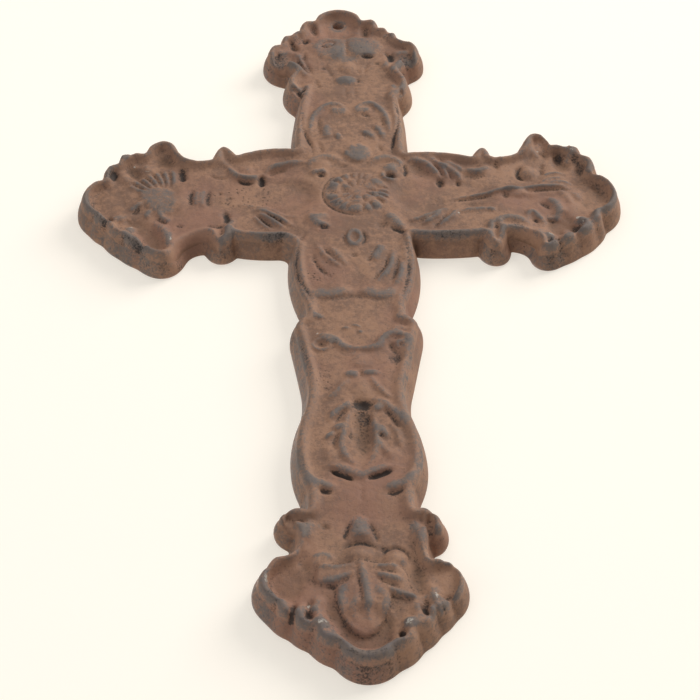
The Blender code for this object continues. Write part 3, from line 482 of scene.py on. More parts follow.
def carve_top_leaf(relief):
    """The palmette under the nail hole, its tail lines, the boss at its foot and the creases of the ears."""
    left_lobe = [(-1, 105.6), (-6, 107), (-12, 105), (-15.6, 99.6), (-13.4, 94), (-8, 91.4), (-2.6, 93.4),
                 (-0.9, 99)]
    right_lobe = [(-0.3, 105.6), (5, 106.6), (11, 104.6), (15, 99.4), (12.6, 94.6), (7.6, 92.6),
                  (2.4, 93.4), (0.1, 99)]
    relief.shape(left_lobe, 0.9, 2.0, worn=0.45)
    relief.shape(right_lobe, 0.9, 2.0, worn=0.5)
    relief.ring((-8.7, 101), (2.8, 1.7), 0.6, -0.8, 30, soot=0.4)
    each(relief.ridges,
         ((1.3, 1.5, 0.5), [(-25, 97), (-22.5, 94), (-20.5, 89.5), (-17.6, 82)],
          [(-26, 88), (-21, 82.4), (-16.8, 78.4)], [(-32, 95.5), (-28.6, 95.6), (-24, 97)]),
         ((1.4, 1.5, 0.55), [(19, 94), (23, 95), (28.5, 96)], [(17.5, 82), (16.5, 86), (18.6, 90)],
          [(23, 87), (20, 82), (17, 79)]),
         ((1.3, 1.3, 0.4), [(17, 60), (18.6, 67), (19.5, 74)], [(-17.4, 62), (-17.8, 68), (-17, 74)]))
    each(relief.grooves,
         ((0.6, 0.7, 0.3), [(-0.6, 107), (-0.7, 98), (-0.6, 91)]),
         ((0.7, 0.5, 0.15), [(-1.6, 71.4), (-1.3, 62)], [(2.4, 71.4), (2.4, 62)]),
         ((0.9, 1.6, 0.7), [(-18.6, 97), (-19.4, 91), (-17, 84), (-15.5, 80.5)],
          [(-22.4, 94), (-21.2, 88), (-17, 80)], [(16, 96), (18.4, 91), (16.5, 86)]),
         ((0.8, 0.7, 0.3), [(-14.7, 77), (-13.4, 73), (-12.5, 69)],
          [(-9, 89), (-9.5, 86), (-8, 81), (-6, 77)], [(9, 89), (7.5, 85), (6.8, 80)]),
         ((1, 1.6, 1.1), [(-19, 71), (-19.6, 66), (-20.4, 61)], [(19.9, 60), (19.9, 54), (19.5, 50)]))
    each(relief.boss, ((-4, 96), (5.6, 5.6), 0.6, 0.6, 0, 20), ((6, 97.6), (6.4, 5.6), 0.6, 0.6, 0, -20),
         ((-1.2, 75.6), (5.6, 4), 1.7, 1), ((-0.5, 85), (4.4, 5), 1.2))
    each(relief.hollow, ((8.4, 92.6), (2.9, 1.2), 2.2, 1.6), ((12.4, 87.6), (2, 1.4), 0.9, 0.7),
         ((-10.8, 84.8), (1.3, 1.8), 0.8, 0.8), ((4.6, 82), (1, 1.6), 0.7, 0.8),
         ((3.9, 75.4), (1, 1.6), 0.8, 0.8), ((-21, 67), (1.9, 1.9), 1.6, 1.3))
    each(relief.stain, ((-1, 91), (9, 3.4), 0.6), ((-2, 102), (24, 22), 0.22),
         ((-1.4, 74.6), (6.4, 4.6), 0.5), ((-29.5, 91), (4.6, 6), 0.7, 0.7, -10),
         ((-22, 104), (4.6, 3), 0.4, 0.3, 30), ((25.5, 90), (6.5, 5.5), 0.75, 0.4, 10),
         ((19, 91.6), (2.4, 4.2), 0, 0.9), ((18.6, 106), (4, 2.6), 0.6, 0.5, -20),
         ((-21, 69.5), (4.4, 3.2), 0.8), ((21.2, 70), (4.4, 3.4), 0.6))


def carve_upper_barrel(relief):
    """The double arch, the pleats that run down to the crossing, and the small fan at their foot."""
    fan_foot = (2.4, 19.6)
    fan = [((-2.6, 27.5), 1.2), ((0.3, 31.6), 1.3), ((3.6, 32.6), 1.3), ((6.2, 30.3), 1.3),
           ((8.4, 26), 1.1)]
    for tip, wide in fan:
        middle = ((fan_foot[0] + tip[0]) / 2 + (tip[0] - fan_foot[0]) * 0.12, (fan_foot[1] + tip[1]) / 2)
        relief.stroke([fan_foot, middle, tip], wide, 0.8, 0.6)
    each(relief.ridges,
         ((1, 1.3, 0.95), [(-16.2, 37), (-16.6, 44), (-15.1, 50.4), (-11.1, 56), (-5.8, 57.8), (-2.4, 55),
          (-1.2, 51.6)], [(1.6, 52), (2.6, 55), (5.6, 57.4), (9.7, 57.8), (13.6, 53.3), (15.8, 46.2),
          (16.4, 37)]),
         ((1.4, 0.9, 0.9), [(-8.6, 54), (-5, 53.4), (-1.4, 52)], [(1.6, 52.6), (5, 54), (9, 53)]),
         ((1.3, 0.9, 0.9), [(-9.6, 45), (-10, 39.7), (-8.8, 35.3)], [(-6.4, 36.2), (-3.6, 37.4)],
          [(9.6, 44), (12, 40.6), (13.8, 35)], [(4.2, 39.8), (7.5, 38), (9.8, 35.1)]))
    each(relief.grooves,
         ((0.7, 1.9, 1.2, 0.3), [(20.2, 56), (20.4, 49), (19.8, 42.6), (18.2, 35.7), (17, 28.2),
          (17.4, 24.5)]),
         ((0.7, 1.4, 0.7, 0.4), [(-18.4, 58), (-20, 50), (-19.8, 42), (-17.6, 34.9), (-16, 30),
          (-15.8, 24.5)]),
         ((0.8, 0.8, 0.3), [(-13, 50), (-13.2, 43), (-12, 36)], [(13.4, 49), (14, 43)],
          [(8.4, 43), (10.8, 39.6), (12.4, 34.4)], [(3.8, 38.2), (7, 36.6), (9, 34)],
          [(-13.6, 34), (-12.4, 30), (-12, 26)], [(11.6, 31), (12.6, 27)]))
    relief.boss((2.4, 26.5), (6.8, 6.2), 1.5, 0.55)
    each(relief.hollow, ((2, 47.4), (9.5, 3.4), 1.3, 0.15), ((6.4, 50.6), (2.6, 1.1), 0.9, 1.1, -12))


def carve_crossing(relief):
    """The rosette with its two rings of small petals, and the four corner scrolls."""
    centre, size = (2.3, 1.6), (13.4, 12.4)
    share = relief.polar(centre, size)
    turn = np.arctan2(relief.y - centre[1], relief.x - centre[0])
    left_shade = smooth(0.25 - 0.75 * np.cos(turn - 0.3))
    relief.height += 0.9 * smooth((1.04 - share) / 0.34)
    turn = turn + 0.16 * np.sin(3 * turn + 1.0) + 0.10 * np.sin(5 * turn)
    for inner, outer, petals, rise in ((0.58, 1.0, 17, 1.2), (0.22, 0.62, 9, 1.1)):
        band = smooth((share - inner) / 0.1) * smooth((outer - share) / 0.14)
        petal = np.abs(np.cos(turn * petals / 2 + 1.4 * share)) ** 1.2
        relief.height += band * (rise * petal - 0.5)
        # More grey on the left petals is painted shade, on the side turned from the key light
        relief.worn += band * petal * (0.30 + 0.60 * left_shade)
        relief.soot += 0.40 * band * (1 - petal)
    # Painted shade on the rosette's left side: a dark ring at its edge and a band of grey inside it, over a
    # shallow groove
    relief.height -= 0.6 * left_shade * np.exp(-((share - 1.05) / 0.06) ** 2)
    relief.soot += 0.8 * left_shade * np.exp(-((share - 1.05) / 0.04) ** 2)
    relief.worn += 0.7 * left_shade * np.exp(-((share - 0.86) / 0.16) ** 2)
    each(relief.ridges,
         ((1.4, 1.6, 0.6), [(-17, 15.6), (-16.6, 20), (-12.4, 23), (-7.4, 22.6), (-3.4, 20)],
          [(-16.4, 16), (-13.4, 14), (-9.4, 15.4)]),
         ((1.4, 1.7, 0.7), [(6.4, 18), (10.6, 21.6), (15.6, 22.6), (19.8, 19.6), (20.8, 15)]),
         ((0.9, 1.2, 0.7), [(12.4, 15.4), (13, 11.6), (16, 9.4), (18.8, 10.8)]),
         ((1.5, 1.6, 0.9, 0.1), [(-17.4, -9.6), (-15.4, -13.6), (-13, -16.6), (-8.4, -18.2)]),
         ((1.6, 1.7, 0.8), [(12.6, -9.4), (15, -12.6), (17.5, -16), (20.4, -20.6)]))
    each(relief.grooves,
         ((0.8, 1.4, 1.1), [(21.2, 20), (22, 16), (21.4, 12)]),
         ((0.9, 1.2, 1), [(14.4, -18.6), (18, -20.6), (21.6, -21.4)]))
    each(relief.boss, (centre, (3.6, 3.4), 0.7, 0.3), ((-12, 18.6), (4.4, 3.4), 0.9),
         ((16, 16.6), (4.2, 3.6), 1.3, 0.95), ((-12.4, -12.4), (3.6, 2.8), 1.2, 0.5))
    each(relief.hollow, ((-12.4, 12.6), (2.2, 1.5), 2.2, 1.2), ((-3.8, 17.8), (2.6, 1.5), 1, 0.5),
         ((15.6, 11.8), (2.6, 1.8), 2.6, 1.4), ((-11.4, -18.6), (2.4, 1.3), 1.8, 1.5),
         ((11.5, -17.5), (2.8, 2.2), 1.1, 0.5))
    each(relief.stain, ((10.4, -0.2), (6.4, 2.4), 0.95, 0, 8), ((8.6, -7.4), (5.4, 2.6), 0.85, 0, 24),
         ((3, -1.8), (3.4, 1.6), 0.7, 0, -8), ((10.2, 7), (3, 2.4), 0.7),
         ((-6.6, 9.6), (4, 2.6), 0.7, 0, 30))


def carve_left_arm(relief):
    """The rough field, the leaf sprays on both sides of it and the bars before the end."""
    relief.dish((-36, 1), (26, 13.5), 8, 0, 0.35)
    each(relief.ridges,
         ((1.2, 1.9, 0.8), [(-17.6, 21.2), (-22.8, 21.2), (-27.4, 20.3), (-31.9, 18.8), (-35.8, 15.6)]),
         ((1.1, 1.7, 0.7), [(-50.6, 22), (-49.4, 17.6), (-46.4, 14), (-42.4, 12.6), (-38.4, 13.2),
          (-35.6, 15.4)]),
         ((0.8, 1.3, 0.9), [(-37.9, -7.2), (-34.7, -10), (-30.2, -14.3), (-26.6, -17.6)],
          [(-41.6, -7.4), (-38, -6), (-33.5, -7.6), (-27.1, -13.2), (-22.6, -17.2)]),
         ((0.7, 0.7, 0.6), [(-39.6, -9.4), (-36, -14.6), (-31.6, -19)]),
         ((0.6, 0.5, 0.5), [(-50, -2), (-42, -3.4), (-33, -5.4), (-26, -10.4), (-18.6, -11.6)]),
         ((1.5, 1.2, 0.9), [(-48.6, -16), (-48.4, -20), (-48.4, -24)]),
         ((1, 0.8, 0.5), [(-61.8, 6), (-62.6, 1), (-61.8, -4)], [(-59.5, 6.5), (-60, 1), (-59.5, -5)]))
    each(relief.grooves,
         ((0.7, 1.1, 0.95), [(-38.2, -9), (-35, -13.4), (-31, -17.6)],
          [(-35, -7.6), (-30.6, -11.6), (-26.4, -15.6)]),
         ((1, 1, 0.9, 0.3), [(-63.8, 6), (-64.6, 1), (-63.8, -4)], [(-57, 6), (-57.9, 1), (-57, -5)]))
    each(relief.stroke,
         ([(-26, 17.6), (-31, 16), (-34.4, 13.4)], 1.3, -0.9, 0, 0.15),
         ([(-46.6, 11.8), (-42.6, 10.4), (-39.4, 10.6)], 1.1, -1.2, 0, 0.6),
         ([(-36.4, 14.6), (-36.3, 8.2)], 1.3, -1.9, 0, 1.3),
         ([(-49.6, 12.6), (-53.6, 12.8), (-58, 14.6)], 0.8, -0.6, 0, 0.35),
         ([(-51, -6.4), (-49.8, -11), (-49.2, -15.6)], 1.4, -1.5, 0, 1.1),
         ([(-58.5, -15.5), (-54, -16.4), (-50.3, -16.4)], 0.7, -0.5, 0, 0.8),
         ([(-70, -14.8), (-66.4, -15.6)], 0.8, -0.5, 0, 0.9))
    relief.boss((-43, 17.6), (4, 3), 0.9)
    each(relief.hollow, ((-53, 4), (1, 1.2), 0.8, 0.8), ((-49, 1), (1.6, 0.8), 0.8, 0.7),
         ((-28, 9), (3.4, 2.2), 0.4, 0.2))
    relief.stain((-51.3, -24), (2.8, 2.4), 0.5, 0.6)
    relief.scuff((-51.6, -22), (1.6, 0.8), 0.9)
    relief.pits((-42, 2), (19, 10), 1)


def carve_right_arm(relief):
    """The arched leaves, the mid line with its knot, and the rolled rim over the saddle."""
    relief.dish((37, 1), (24, 13.5), 8, 0, 0.35)
    each(relief.ridges,
         ((1.2, 1.9, 0.8), [(21, 21), (24.7, 22), (29.3, 21), (32.6, 17.6), (34.6, 14.5), (35, 11)]),
         ((1, 1.4, 0.7), [(28, 23.4), (31, 23.2), (35.3, 20.6), (38, 16.4), (39.3, 10.6)],
          [(35.6, 20.6), (40.7, 16.4), (43.3, 13), (44, 10)], [(37, 22), (43, 18.2), (46, 14.6)]),
         ((1.3, 1.5, 0.8, 0.1), [(45.5, 16.8), (50, 15.4), (54, 16.6), (56.4, 19.6)]),
         ((0.7, 1.5, 0.9), [(36.6, -1.4), (44, 0.3), (53.8, 2.2), (60.4, 4.2), (68, 4.6), (76.7, 5.9),
          (86.4, 6.1), (92.6, 3.4)]),
         ((0.9, 1.5, 0.7), [(20, -14), (26, -13), (31.3, -9.8), (36, -7), (39.3, -5)],
          [(27.4, -16), (32.7, -11.4), (35.6, -7.6)], [(33.6, -19), (35.3, -15.4), (39.3, -11.2), (41, -8),
          (43.5, -5.4)]),
         ((1, 1.1, 0.8), [(42, -8), (47, -7), (52, -6.8), (56.4, -7.4)]),
         ((1.6, 2, 0.8, 0.2), [(53.4, -21), (55.4, -16), (59.4, -13.4), (63.6, -13), (68, -14.8),
          (71.6, -19)]))
    each(relief.grooves,
         ((0.7, 1, 0.4), [(37, 18.6), (39.6, 14.6), (41.2, 10.6)], [(33, 20.6), (36, 16.4), (37, 12)]),
         ((0.6, 0.7, 0.6), [(40, -1.8), (48, -0.4), (57, 1.4)]),
         ((0.7, 0.9, 0.5), [(24, -15), (30, -12), (34.6, -8.6)], [(31.5, -18), (35, -13.4), (38, -9)]))
    each(relief.boss, ((64.4, 5), (4.6, 2.2), 0.8, 0.8), ((67, 2), (4.2, 2.8), 1.3),
         ((55.6, -7.2), (2.2, 1.8), 0.8, 0.7))
    each(relief.hollow, ((29, 15.5), (6, 4.6), 1.4, 0.35, -20), ((35.8, 9.6), (1.9, 2.8), 2.4, 1.2),
         ((43, 9), (1.3, 1.7), 1.5, 0.9), ((49.6, 12.8), (4.6, 2.2), 1.5, 0.5),
         ((59.4, 20), (1.6, 3.8), 1.4, 0.7), ((61.7, 1), (1.6, 1.9), 1.4, 0.9),
         ((49, -4), (5.5, 1.6), 0.7, 0.2))
    relief.pits((36, -2), (13, 6), 0.6)


def carve_left_leaf(relief):
    """The left end's palmette, a worn body with short feathers above it, and the channel of the near ear."""
    body = [(-84.5, 5.6), (-79, 7.4), (-73, 5.6), (-70.6, 1), (-71, -6.4), (-75.4, -8.2), (-79.6, -6.4),
            (-82.6, -3), (-84.6, 1)]
    relief.shape(body, 0.7, 1.5, worn=0.75)
    feathers = [[(-83.4, 4.6), (-87, 7.4), (-90, 8.2)], [(-81.4, 6), (-85, 9.4), (-88.4, 11.6)],
                [(-79.4, 7), (-82.6, 11), (-86, 14)], [(-77.6, 7.6), (-80.2, 12.4), (-83, 16)],
                [(-75.8, 8), (-77.4, 13), (-80, 17.8)], [(-74, 8), (-74.8, 13.4), (-76.6, 18.8)],
                [(-72.2, 7.6), (-72, 13), (-73, 19)]]
    for feather in feathers:
        relief.stroke(feather, 1.15, 0.8, 0.85)
    for low, high in zip(feathers, feathers[1:]):
        between = [((ax + bx) / 2, (ay + by) / 2) for (ax, ay), (bx, by) in zip(low, high)]
        relief.stroke(between, 0.75, -0.6, 0, 0.35)
    channel = [(-89.4, -11.4), (-84, -11), (-79.6, -15), (-76, -21), (-74.4, -27), (-77.6, -29.4),
               (-81, -26), (-84.6, -20), (-88.4, -15.6)]
    relief.shape(channel, -1.1, 2.3)
    each(relief.ridges,
         ((1.1, 1, 0.8, 0.2), [(-83, -1.6), (-86.4, -4), (-88.6, -6.6)],
          [(-77.6, -7), (-75, -10.4), (-71.4, -12.6)], [(-80.6, -6), (-81.4, -8.4), (-82, -10.4)]),
         ((1.5, 1.3, 0.7, 0.55), [(-92.4, -15.4), (-88.4, -18.6), (-84.4, -23.6), (-80.4, -29)],
          [(-95.4, -12), (-92, -10.6), (-90.6, -12.6)]),
         ((1.5, 1.5, 0.6, 0.1), [(-79, -12.6), (-75, -16.4), (-72.4, -22), (-72.2, -28)]),
         ((1.6, 1.3, 0.15), [(-94.3, 17.6), (-90.4, 12), (-86.4, 9.4)],
          [(-84.4, 22), (-82.6, 18.6), (-80, 16.6)]))
    each(relief.grooves,
         ((0.9, 1, 0.7), [(-84.4, -3.6), (-86, -6.4), (-87.6, -8)],
          [(-77.4, -9.6), (-75.4, -12.4), (-72.8, -13.8)]),
         ((1.3, 2.2, 1.2), [(-69, 20), (-68.6, 15), (-68, 11)]),
         ((0.9, 1.2, 0.6), [(-96, -12), (-98.4, -15)], [(-92.5, -16), (-94, -19.4)]))
    each(relief.stroke,
         ([(-68.4, 8), (-68.8, 0), (-68.4, -8)], 2.6, 1),
         ([(-72.6, -18), (-71.6, -24), (-72.4, -29)], 1.2, 0, 0.5, 0.4))
    relief.boss((-78, 0), (11, 10), 1.5)
    relief.hollow((-76.5, 24), (5, 4.4), 2.4, 0.3)
    each(relief.stain, ((-97.4, 14.4), (3, 4.2), 0.5, 0.9), ((-93, 24.4), (3, 2.4), 0.6))
    each(relief.scuff, ((-91, 24.6), (1.6, 1), 0.7), ((-88.3, 21.4), (1.2, 1), 0.8),
         ((-83, 17.2), (1.3, 0.7), 0.9), ((-87.2, -15), (1.6, 1.5), 1), ((-85.9, -19.6), (1.2, 1), 0.7),
         ((-71.4, -23.4), (1, 2.4), 0.9))


def carve_right_leaf(relief):
    """The right end's curled leaf: long arcs above, a scroll below, a curl behind, the near ear's folds."""
    relief.dish((93, 3), (9.5, 11), 7.2, 0, 0.55)
    leaf = [(67, 3), (73, 7), (80, 9.6), (87, 8.6), (92.4, 4.4), (92, -2), (88.6, -7.4), (84, -9), (83, -4),
            (79, 1.4), (72, 0.6)]
    relief.shape(leaf, 0.8, 1.8)
    channel = [(76.4, -11.4), (82, -10), (87.4, -12.6), (87.6, -18), (84, -22), (79.4, -20.6), (76.6, -16)]
    relief.shape(channel, -1.2, 2.2)
    each(relief.ridges,
         ((0.7, 0.9, 0.7), [(75.6, 8.2), (80.5, 11.1), (87.1, 12)], [(76, 12), (81, 14.4), (87, 15)],
          [(78, 7.6), (84, 9.2), (90, 7.8)]),
         ((1.3, 1.6, 0.95), [(75.4, -1.2), (78.6, -1.2), (81.2, -3.8), (82.2, -8.4), (80.8, -11.6),
          (77.2, -11.8), (75.2, -10.2)]),
         ((1.2, 1, 0.2), [(82.4, 3.8), (86, 0.6), (87.6, -4.6)], [(86, 5), (89.6, 1.4), (91, -2.6)]),
         ((0.9, 1.2, 0.8), [(69.8, -14), (69.6, -10.4), (71.8, -8.2), (74.2, -11.8), (77, -15.8)]),
         ((1.5, 1.5, 0.4, 0.1), [(75, 34), (74.6, 30), (76, 26), (79, 24.6)],
          [(88, 20), (89.4, 24), (91.6, 27.6)], [(95.6, 12), (96, 17), (94, 22.6)]),
         ((1.4, 1.5, 0.6, 0.1), [(71, -17), (73.4, -20), (76.4, -23.6), (77.6, -29)],
          [(84.6, -16.6), (83.8, -22), (83, -28)], [(91.4, -12), (91, -18), (89.6, -24)]),
         ((1.2, 1, 0.9), [(87.4, -12.8), (88.6, -15.4), (92.6, -14.6), (98.4, -10.4)]))
    each(relief.grooves,
         ((0.8, 1.1, 0.5), [(70, 2.8), (77, 4), (85, 4.2), (90, 2.4)]),
         ((0.8, 0.9, 0.6), [(71.4, -12.6), (73.6, -14.6)], [(74.4, -3), (77, -4.4), (79, -7)]),
         ((1, 1.8, 0.8), [(70, 19.4), (67.8, 16), (68, 12.4), (70.6, 10.2)]),
         ((0.9, 1.2, 0.3), [(78.4, 21), (77.4, 17), (77.6, 12.6)]),
         ((1.2, 1.8, 0.6), [(88, -15), (87.4, -20), (86.4, -26)], [(80.4, -24), (80.2, -29)]),
         ((0.9, 1.2, 0.4), [(94, -14), (93.6, -19)]))
    relief.stroke([(97, 12), (100.4, 4), (99.4, -4)], 2.6, -0.8, 0, 0.2)
    relief.boss((72, 15), (4.4, 5), 2)
    each(relief.hollow, ((79, -13), (2.2, 1), 1.2, 1.1), ((79.6, 29), (3.4, 5.4), 1.4, 0.2),
         ((86.4, 21), (4, 6), 2.2, 0.35, -12))
    each(relief.stain, ((92, 22.6), (2.4, 3.2), 0, 0.8), ((77.4, -27.4), (2.6, 4.4), 0.5, 0.8))
    each(relief.scuff, ((77.6, -23), (1.8, 1.2), 1), ((89.4, -12.6), (1.4, 1.8), 1),
         ((90.8, -16), (0.9, 1.8), 0.7), ((91, 26), (1.8, 1.6), 0.8), ((77, 28), (1.2, 0.9), 0.8),
         ((42.3, -8.6), (0.9, 0.9), 0.9))


def carve_lower_barrel(relief):
    """The shield under the crossing: an inset field, a bead, spread ribs and a two-part band."""
    relief.ring((0.4, -25), (2.4, 3.8), 0.9, 1.1, worn=0.9)
    each(relief.ridges,
         ((1, 1.1, 0.35), [(-14.6, -27), (-12, -33), (-8, -37.6), (-4.4, -42)],
          [(-9.6, -29.6), (-6, -34.6), (-2.8, -40.6)]),
         ((1.7, 1.3, 0.95), [(11.9, -28.6), (8.8, -33.6), (7.4, -38.3)]),
         ((1.1, 1.3, 0.9), [(15.3, -30.6), (14.3, -39.4), (11.2, -45.7), (7.6, -50.4)],
          [(18.4, -37), (17.5, -46), (15, -52.4)]),
         ((2, 1.9, 0.9), [(-18, -53.6), (-14.4, -55.4), (-9.7, -56), (-5, -54.6), (-0.8, -53.8)],
          [(1, -54), (5.6, -55.4), (10, -56.6), (13.3, -55), (15.8, -51)]))
    each(relief.grooves,
         ((1, 2.2, 1.15, 0.6), [(-18.4, -20), (-20.4, -25), (-21.6, -32), (-22, -39), (-21.2, -46),
          (-19.2, -52), (-17, -58), (-15.4, -63), (-14.2, -66)]),
         ((1, 2, 1, 0.6), [(18.6, -20), (20.2, -27), (21.4, -33), (21.2, -41), (20.2, -49), (18, -57),
          (16, -62), (14.4, -66)]),
         ((0.8, 1, 0.6), [(-12.4, -29), (-9.2, -35), (-5, -39.6)], [(9.6, -29.6), (6.8, -34.6), (5.4, -39)],
          [(13.2, -34), (12, -40.6), (8.8, -46), (5.8, -50)], [(-16.4, -32), (-14, -40), (-9, -47)],
          [(16.8, -34), (16.4, -42), (13.6, -50)]),
         ((0.9, 0.8, 0.3), [(-17, -57.6), (-10, -58.8), (0, -57), (10, -59.2), (15, -57)]))
    each(relief.stroke,
         ([(3.4, -20.6), (4.6, -25), (3.2, -29.6)], 0.8, -0.7, 0.3, 0.8),
         ([(-2.4, -21), (-3.6, -25), (-2.6, -29)], 0.8, -0.5, 0, 0.4))
    relief.boss((-13.9, -67.4), (2.6, 1.9), 1, 0.9, 0.3)
    each(relief.hollow, ((0, -34.6), (1.8, 1.4), 1, 0.6), ((0.5, -46), (5.5, 9), 0.7))
    relief.stain((-14, -45), (7, 7.5), 0, 0.25, 30)
    relief.scuff((12.5, -54.5), (1.3, 1), 0.7)
    each(relief.pits, ((-14, -45), (7, 7.5), 0.8, 30), ((-12, -42), (8, 9), 0.8))


def carve_vase(relief):
    """The vase-shaped lower stem: a scrolled bracket, hanging leaves round a slot, and a lower bracket."""
    relief.ring((-12.8, -81.8), (3.2, 2.6), 0.8, 0.8, worn=0.5)
    each(relief.ridges,
         ((0.9, 0.9, 0.5), [(14, -68), (17, -68.6), (20, -70.4)],
          [(12.6, -74.6), (16, -73.4), (19.6, -74.8)]),
         ((1.1, 1.6, 0.9), [(-16, -79), (-13.4, -77.4), (-10.6, -78), (-7.4, -79.8), (-5.4, -82.4),
          (-3, -83.8), (2.4, -84.2)], [(-2.4, -84.2), (1.4, -84), (5, -83.8), (7.8, -82.6), (10, -78.9),
          (12.6, -76.6), (16, -76.6), (19, -79.4), (19.4, -83), (17, -85.6)]),
         ((2, 0.8, 0.1), [(0.8, -86), (0.9, -94)]),
         ((1, 0.3, 0.8), [(-22.6, -74), (-21.4, -84), (-19.8, -91), (-18.4, -98)],
          [(-21.8, -128), (-22, -136), (-19.8, -143)], [(21.8, -126), (22.6, -135), (20, -143)]),
         ((1, 0.4, 0.2), [(21.4, -84), (20, -92), (18.7, -100)]),
         ((0.9, 1.1, 0.45), [(-2.8, -98.6), (-5.6, -102), (-8.3, -106), (-11.4, -108.6)],
          [(4.2, -97.2), (6.4, -101.5), (9.6, -105.9), (12.6, -108.2)]),
         ((1.1, 1.4, 0.75), [(-1.2, -109.6), (-5, -112.2), (-8.3, -115), (-11, -119)],
          [(4.6, -108.6), (9, -110.2), (12, -113.6), (15, -118.6), (16.6, -123)]),
         ((1, 1.3, 0.6), [(-3.4, -113.6), (-4.4, -120), (-5.8, -126), (-6, -131), (-4.6, -135),
          (-1.6, -138.4), (0.8, -139.6)], [(5, -113), (5.2, -120), (6.2, -126), (5.8, -131), (4.6, -135.4),
          (2.6, -138.6), (0.8, -139.6)]),
         ((1.1, 1.3, 0.8), [(6.2, -120.4), (8, -123), (9.8, -127)]),
         ((1, 1, 0.3), [(5.8, -128), (8, -130.6), (10.6, -134.6)],
          [(11, -119.6), (13.6, -125), (14.2, -131)]),
         ((1.3, 1.7, 0.6), [(-13.6, -138), (-10, -138.6), (-6.1, -140), (-2.2, -142), (1.1, -142.9),
          (5.6, -141), (9.4, -139.2), (13.4, -138.6)]),
         ((1.3, 1.4, 0.95), [(-19, -141), (-16.6, -145), (-12.4, -147), (-7.6, -148.4)],
          [(7.4, -149), (11, -147.6), (15, -145.6), (18.6, -141.6)]))
    each(relief.grooves,
         ((0.9, 1.2, 0.5), [(12.6, -80.4), (13, -84), (15.4, -86.4)]),
         ((0.7, 0.8, 0.4), [(1.2, -94.6), (1.3, -98)]),
         ((0.9, 1.3, 1, 0.5), [(-21, -75), (-19.6, -83), (-18.2, -90), (-16.8, -97), (-16.4, -103)]),
         ((0.8, 1.2, 0.5, 0.4), [(20.6, -78), (20, -86), (18.4, -94), (17, -103), (17, -113), (18.6, -121)]),
         ((0.9, 1.3, 0.6, 0.4), [(-20.6, -126), (-20.6, -134), (-19.4, -140), (-17.4, -145), (-15, -147.6)]),
         ((0.9, 1.3, 0.7, 0.4), [(20.8, -128), (20.8, -135.6), (19.2, -141), (16.8, -146)]),
         ((0.8, 1.1, 0.5), [(-2.6, -113), (-6, -115.8), (-8.6, -120)],
          [(8.6, -113), (12, -117), (14, -122.6)]),
         ((0.8, 1, 0.4), [(-6.4, -124), (-8.6, -127.6), (-9, -132)]),
         ((0.7, 2.4, 1.7), [(-10.6, -140.6), (-6.4, -142.8), (-1.6, -145.2)]),
         ((0.7, 2.4, 1.7), [(2, -144.8), (6.6, -143), (11.4, -140.6)]),
         ((0.8, 1.3, 1), [(-14.4, -149), (-11.7, -150), (-9.4, -150)],
          [(8.4, -151), (12, -150.6), (15.4, -148.6)]),
         ((0.7, 0.5, 0.3), [(0.3, -148), (0.3, -154.5)]))
    each(relief.boss, ((-8.2, -80.6), (2.2, 1.6), 0.6, 0.6, 0.7), ((16.2, -81.6), (3, 3), 1.3, 0.8),
         ((-3.9, -73.6), (2.2, 0.9), 0.7, 0.7), ((0.2, -72.6), (2.2, 1), 0.7, 0.8, 0, -25),
         ((1.6, -75.6), (1.4, 1.2), 0.6, 0.8), ((-2, -96.6), (3.6, 2.2), 1, 1),
         ((5, -95.9), (4, 1.8), 1, 1), ((0.8, -103), (5, 5), 0.7), ((7, -112.6), (2.6, 2.4), 1.1, 0.8),
         ((-7.2, -121.4), (3, 1.7), 1.3, 0.9, 0, 30), ((-10.4, -125.2), (3, 1.5), 1.1, 0.8, 0, 45),
         ((16, -117.6), (1.8, 3.4), 0.9, 0.6, 0, 20), ((-10, -134), (3.4, 4.4), 0.7),
         ((11.4, -134), (3.4, 4.4), 0.7))
    each(relief.hollow, ((-12.8, -81.8), (1.5, 1.2), 0.9, 0.2), ((16.2, -82.2), (1.2, 1.3), 1.5, 1.1),
         ((15.4, -88.5), (4.2, 3), 1.3, 0.5), ((1.1, -120.5), (4.4, 12.5), 3.6, 0.55),
         ((0, -110.4), (3.4, 2.4), 1.6, 1.5), ((3.4, -110.8), (2.6, 2.4), 1.6, 1.3),
         ((3.6, -118), (1.2, 2.4), 0.8, 0.8), ((-3, -125.4), (1.3, 2.2), 0.9, 0.9),
         ((0.8, -131), (4.2, 7), 0.7, 0.15), ((7.6, -125.6), (1.5, 1.2), 1.5, 1.1))
    each(relief.stain, ((-1, -86.4), (1.4, 1.8), 0.7), ((1.6, -115), (3.4, 5.4), 0, 0.35),
         ((13.6, -146.2), (2.8, 1), 0, 0.4, 25), ((-12, -100), (4.6, 12), 0, 0.12),
         ((-12.5, -92), (6, 9), 0, 0.22), ((13, -93), (5, 9), 0, 0.22), ((14, -89), (4, 4), 0, 0.3),
         ((-14, -131), (4, 8), 0, 0.18))
    relief.scuff((-14.4, -76), (0.8, 0.7), 0.9)
    each(relief.pits, ((-12, -100), (4.6, 12), 0.8), ((0.8, -117), (3, 10), 1))


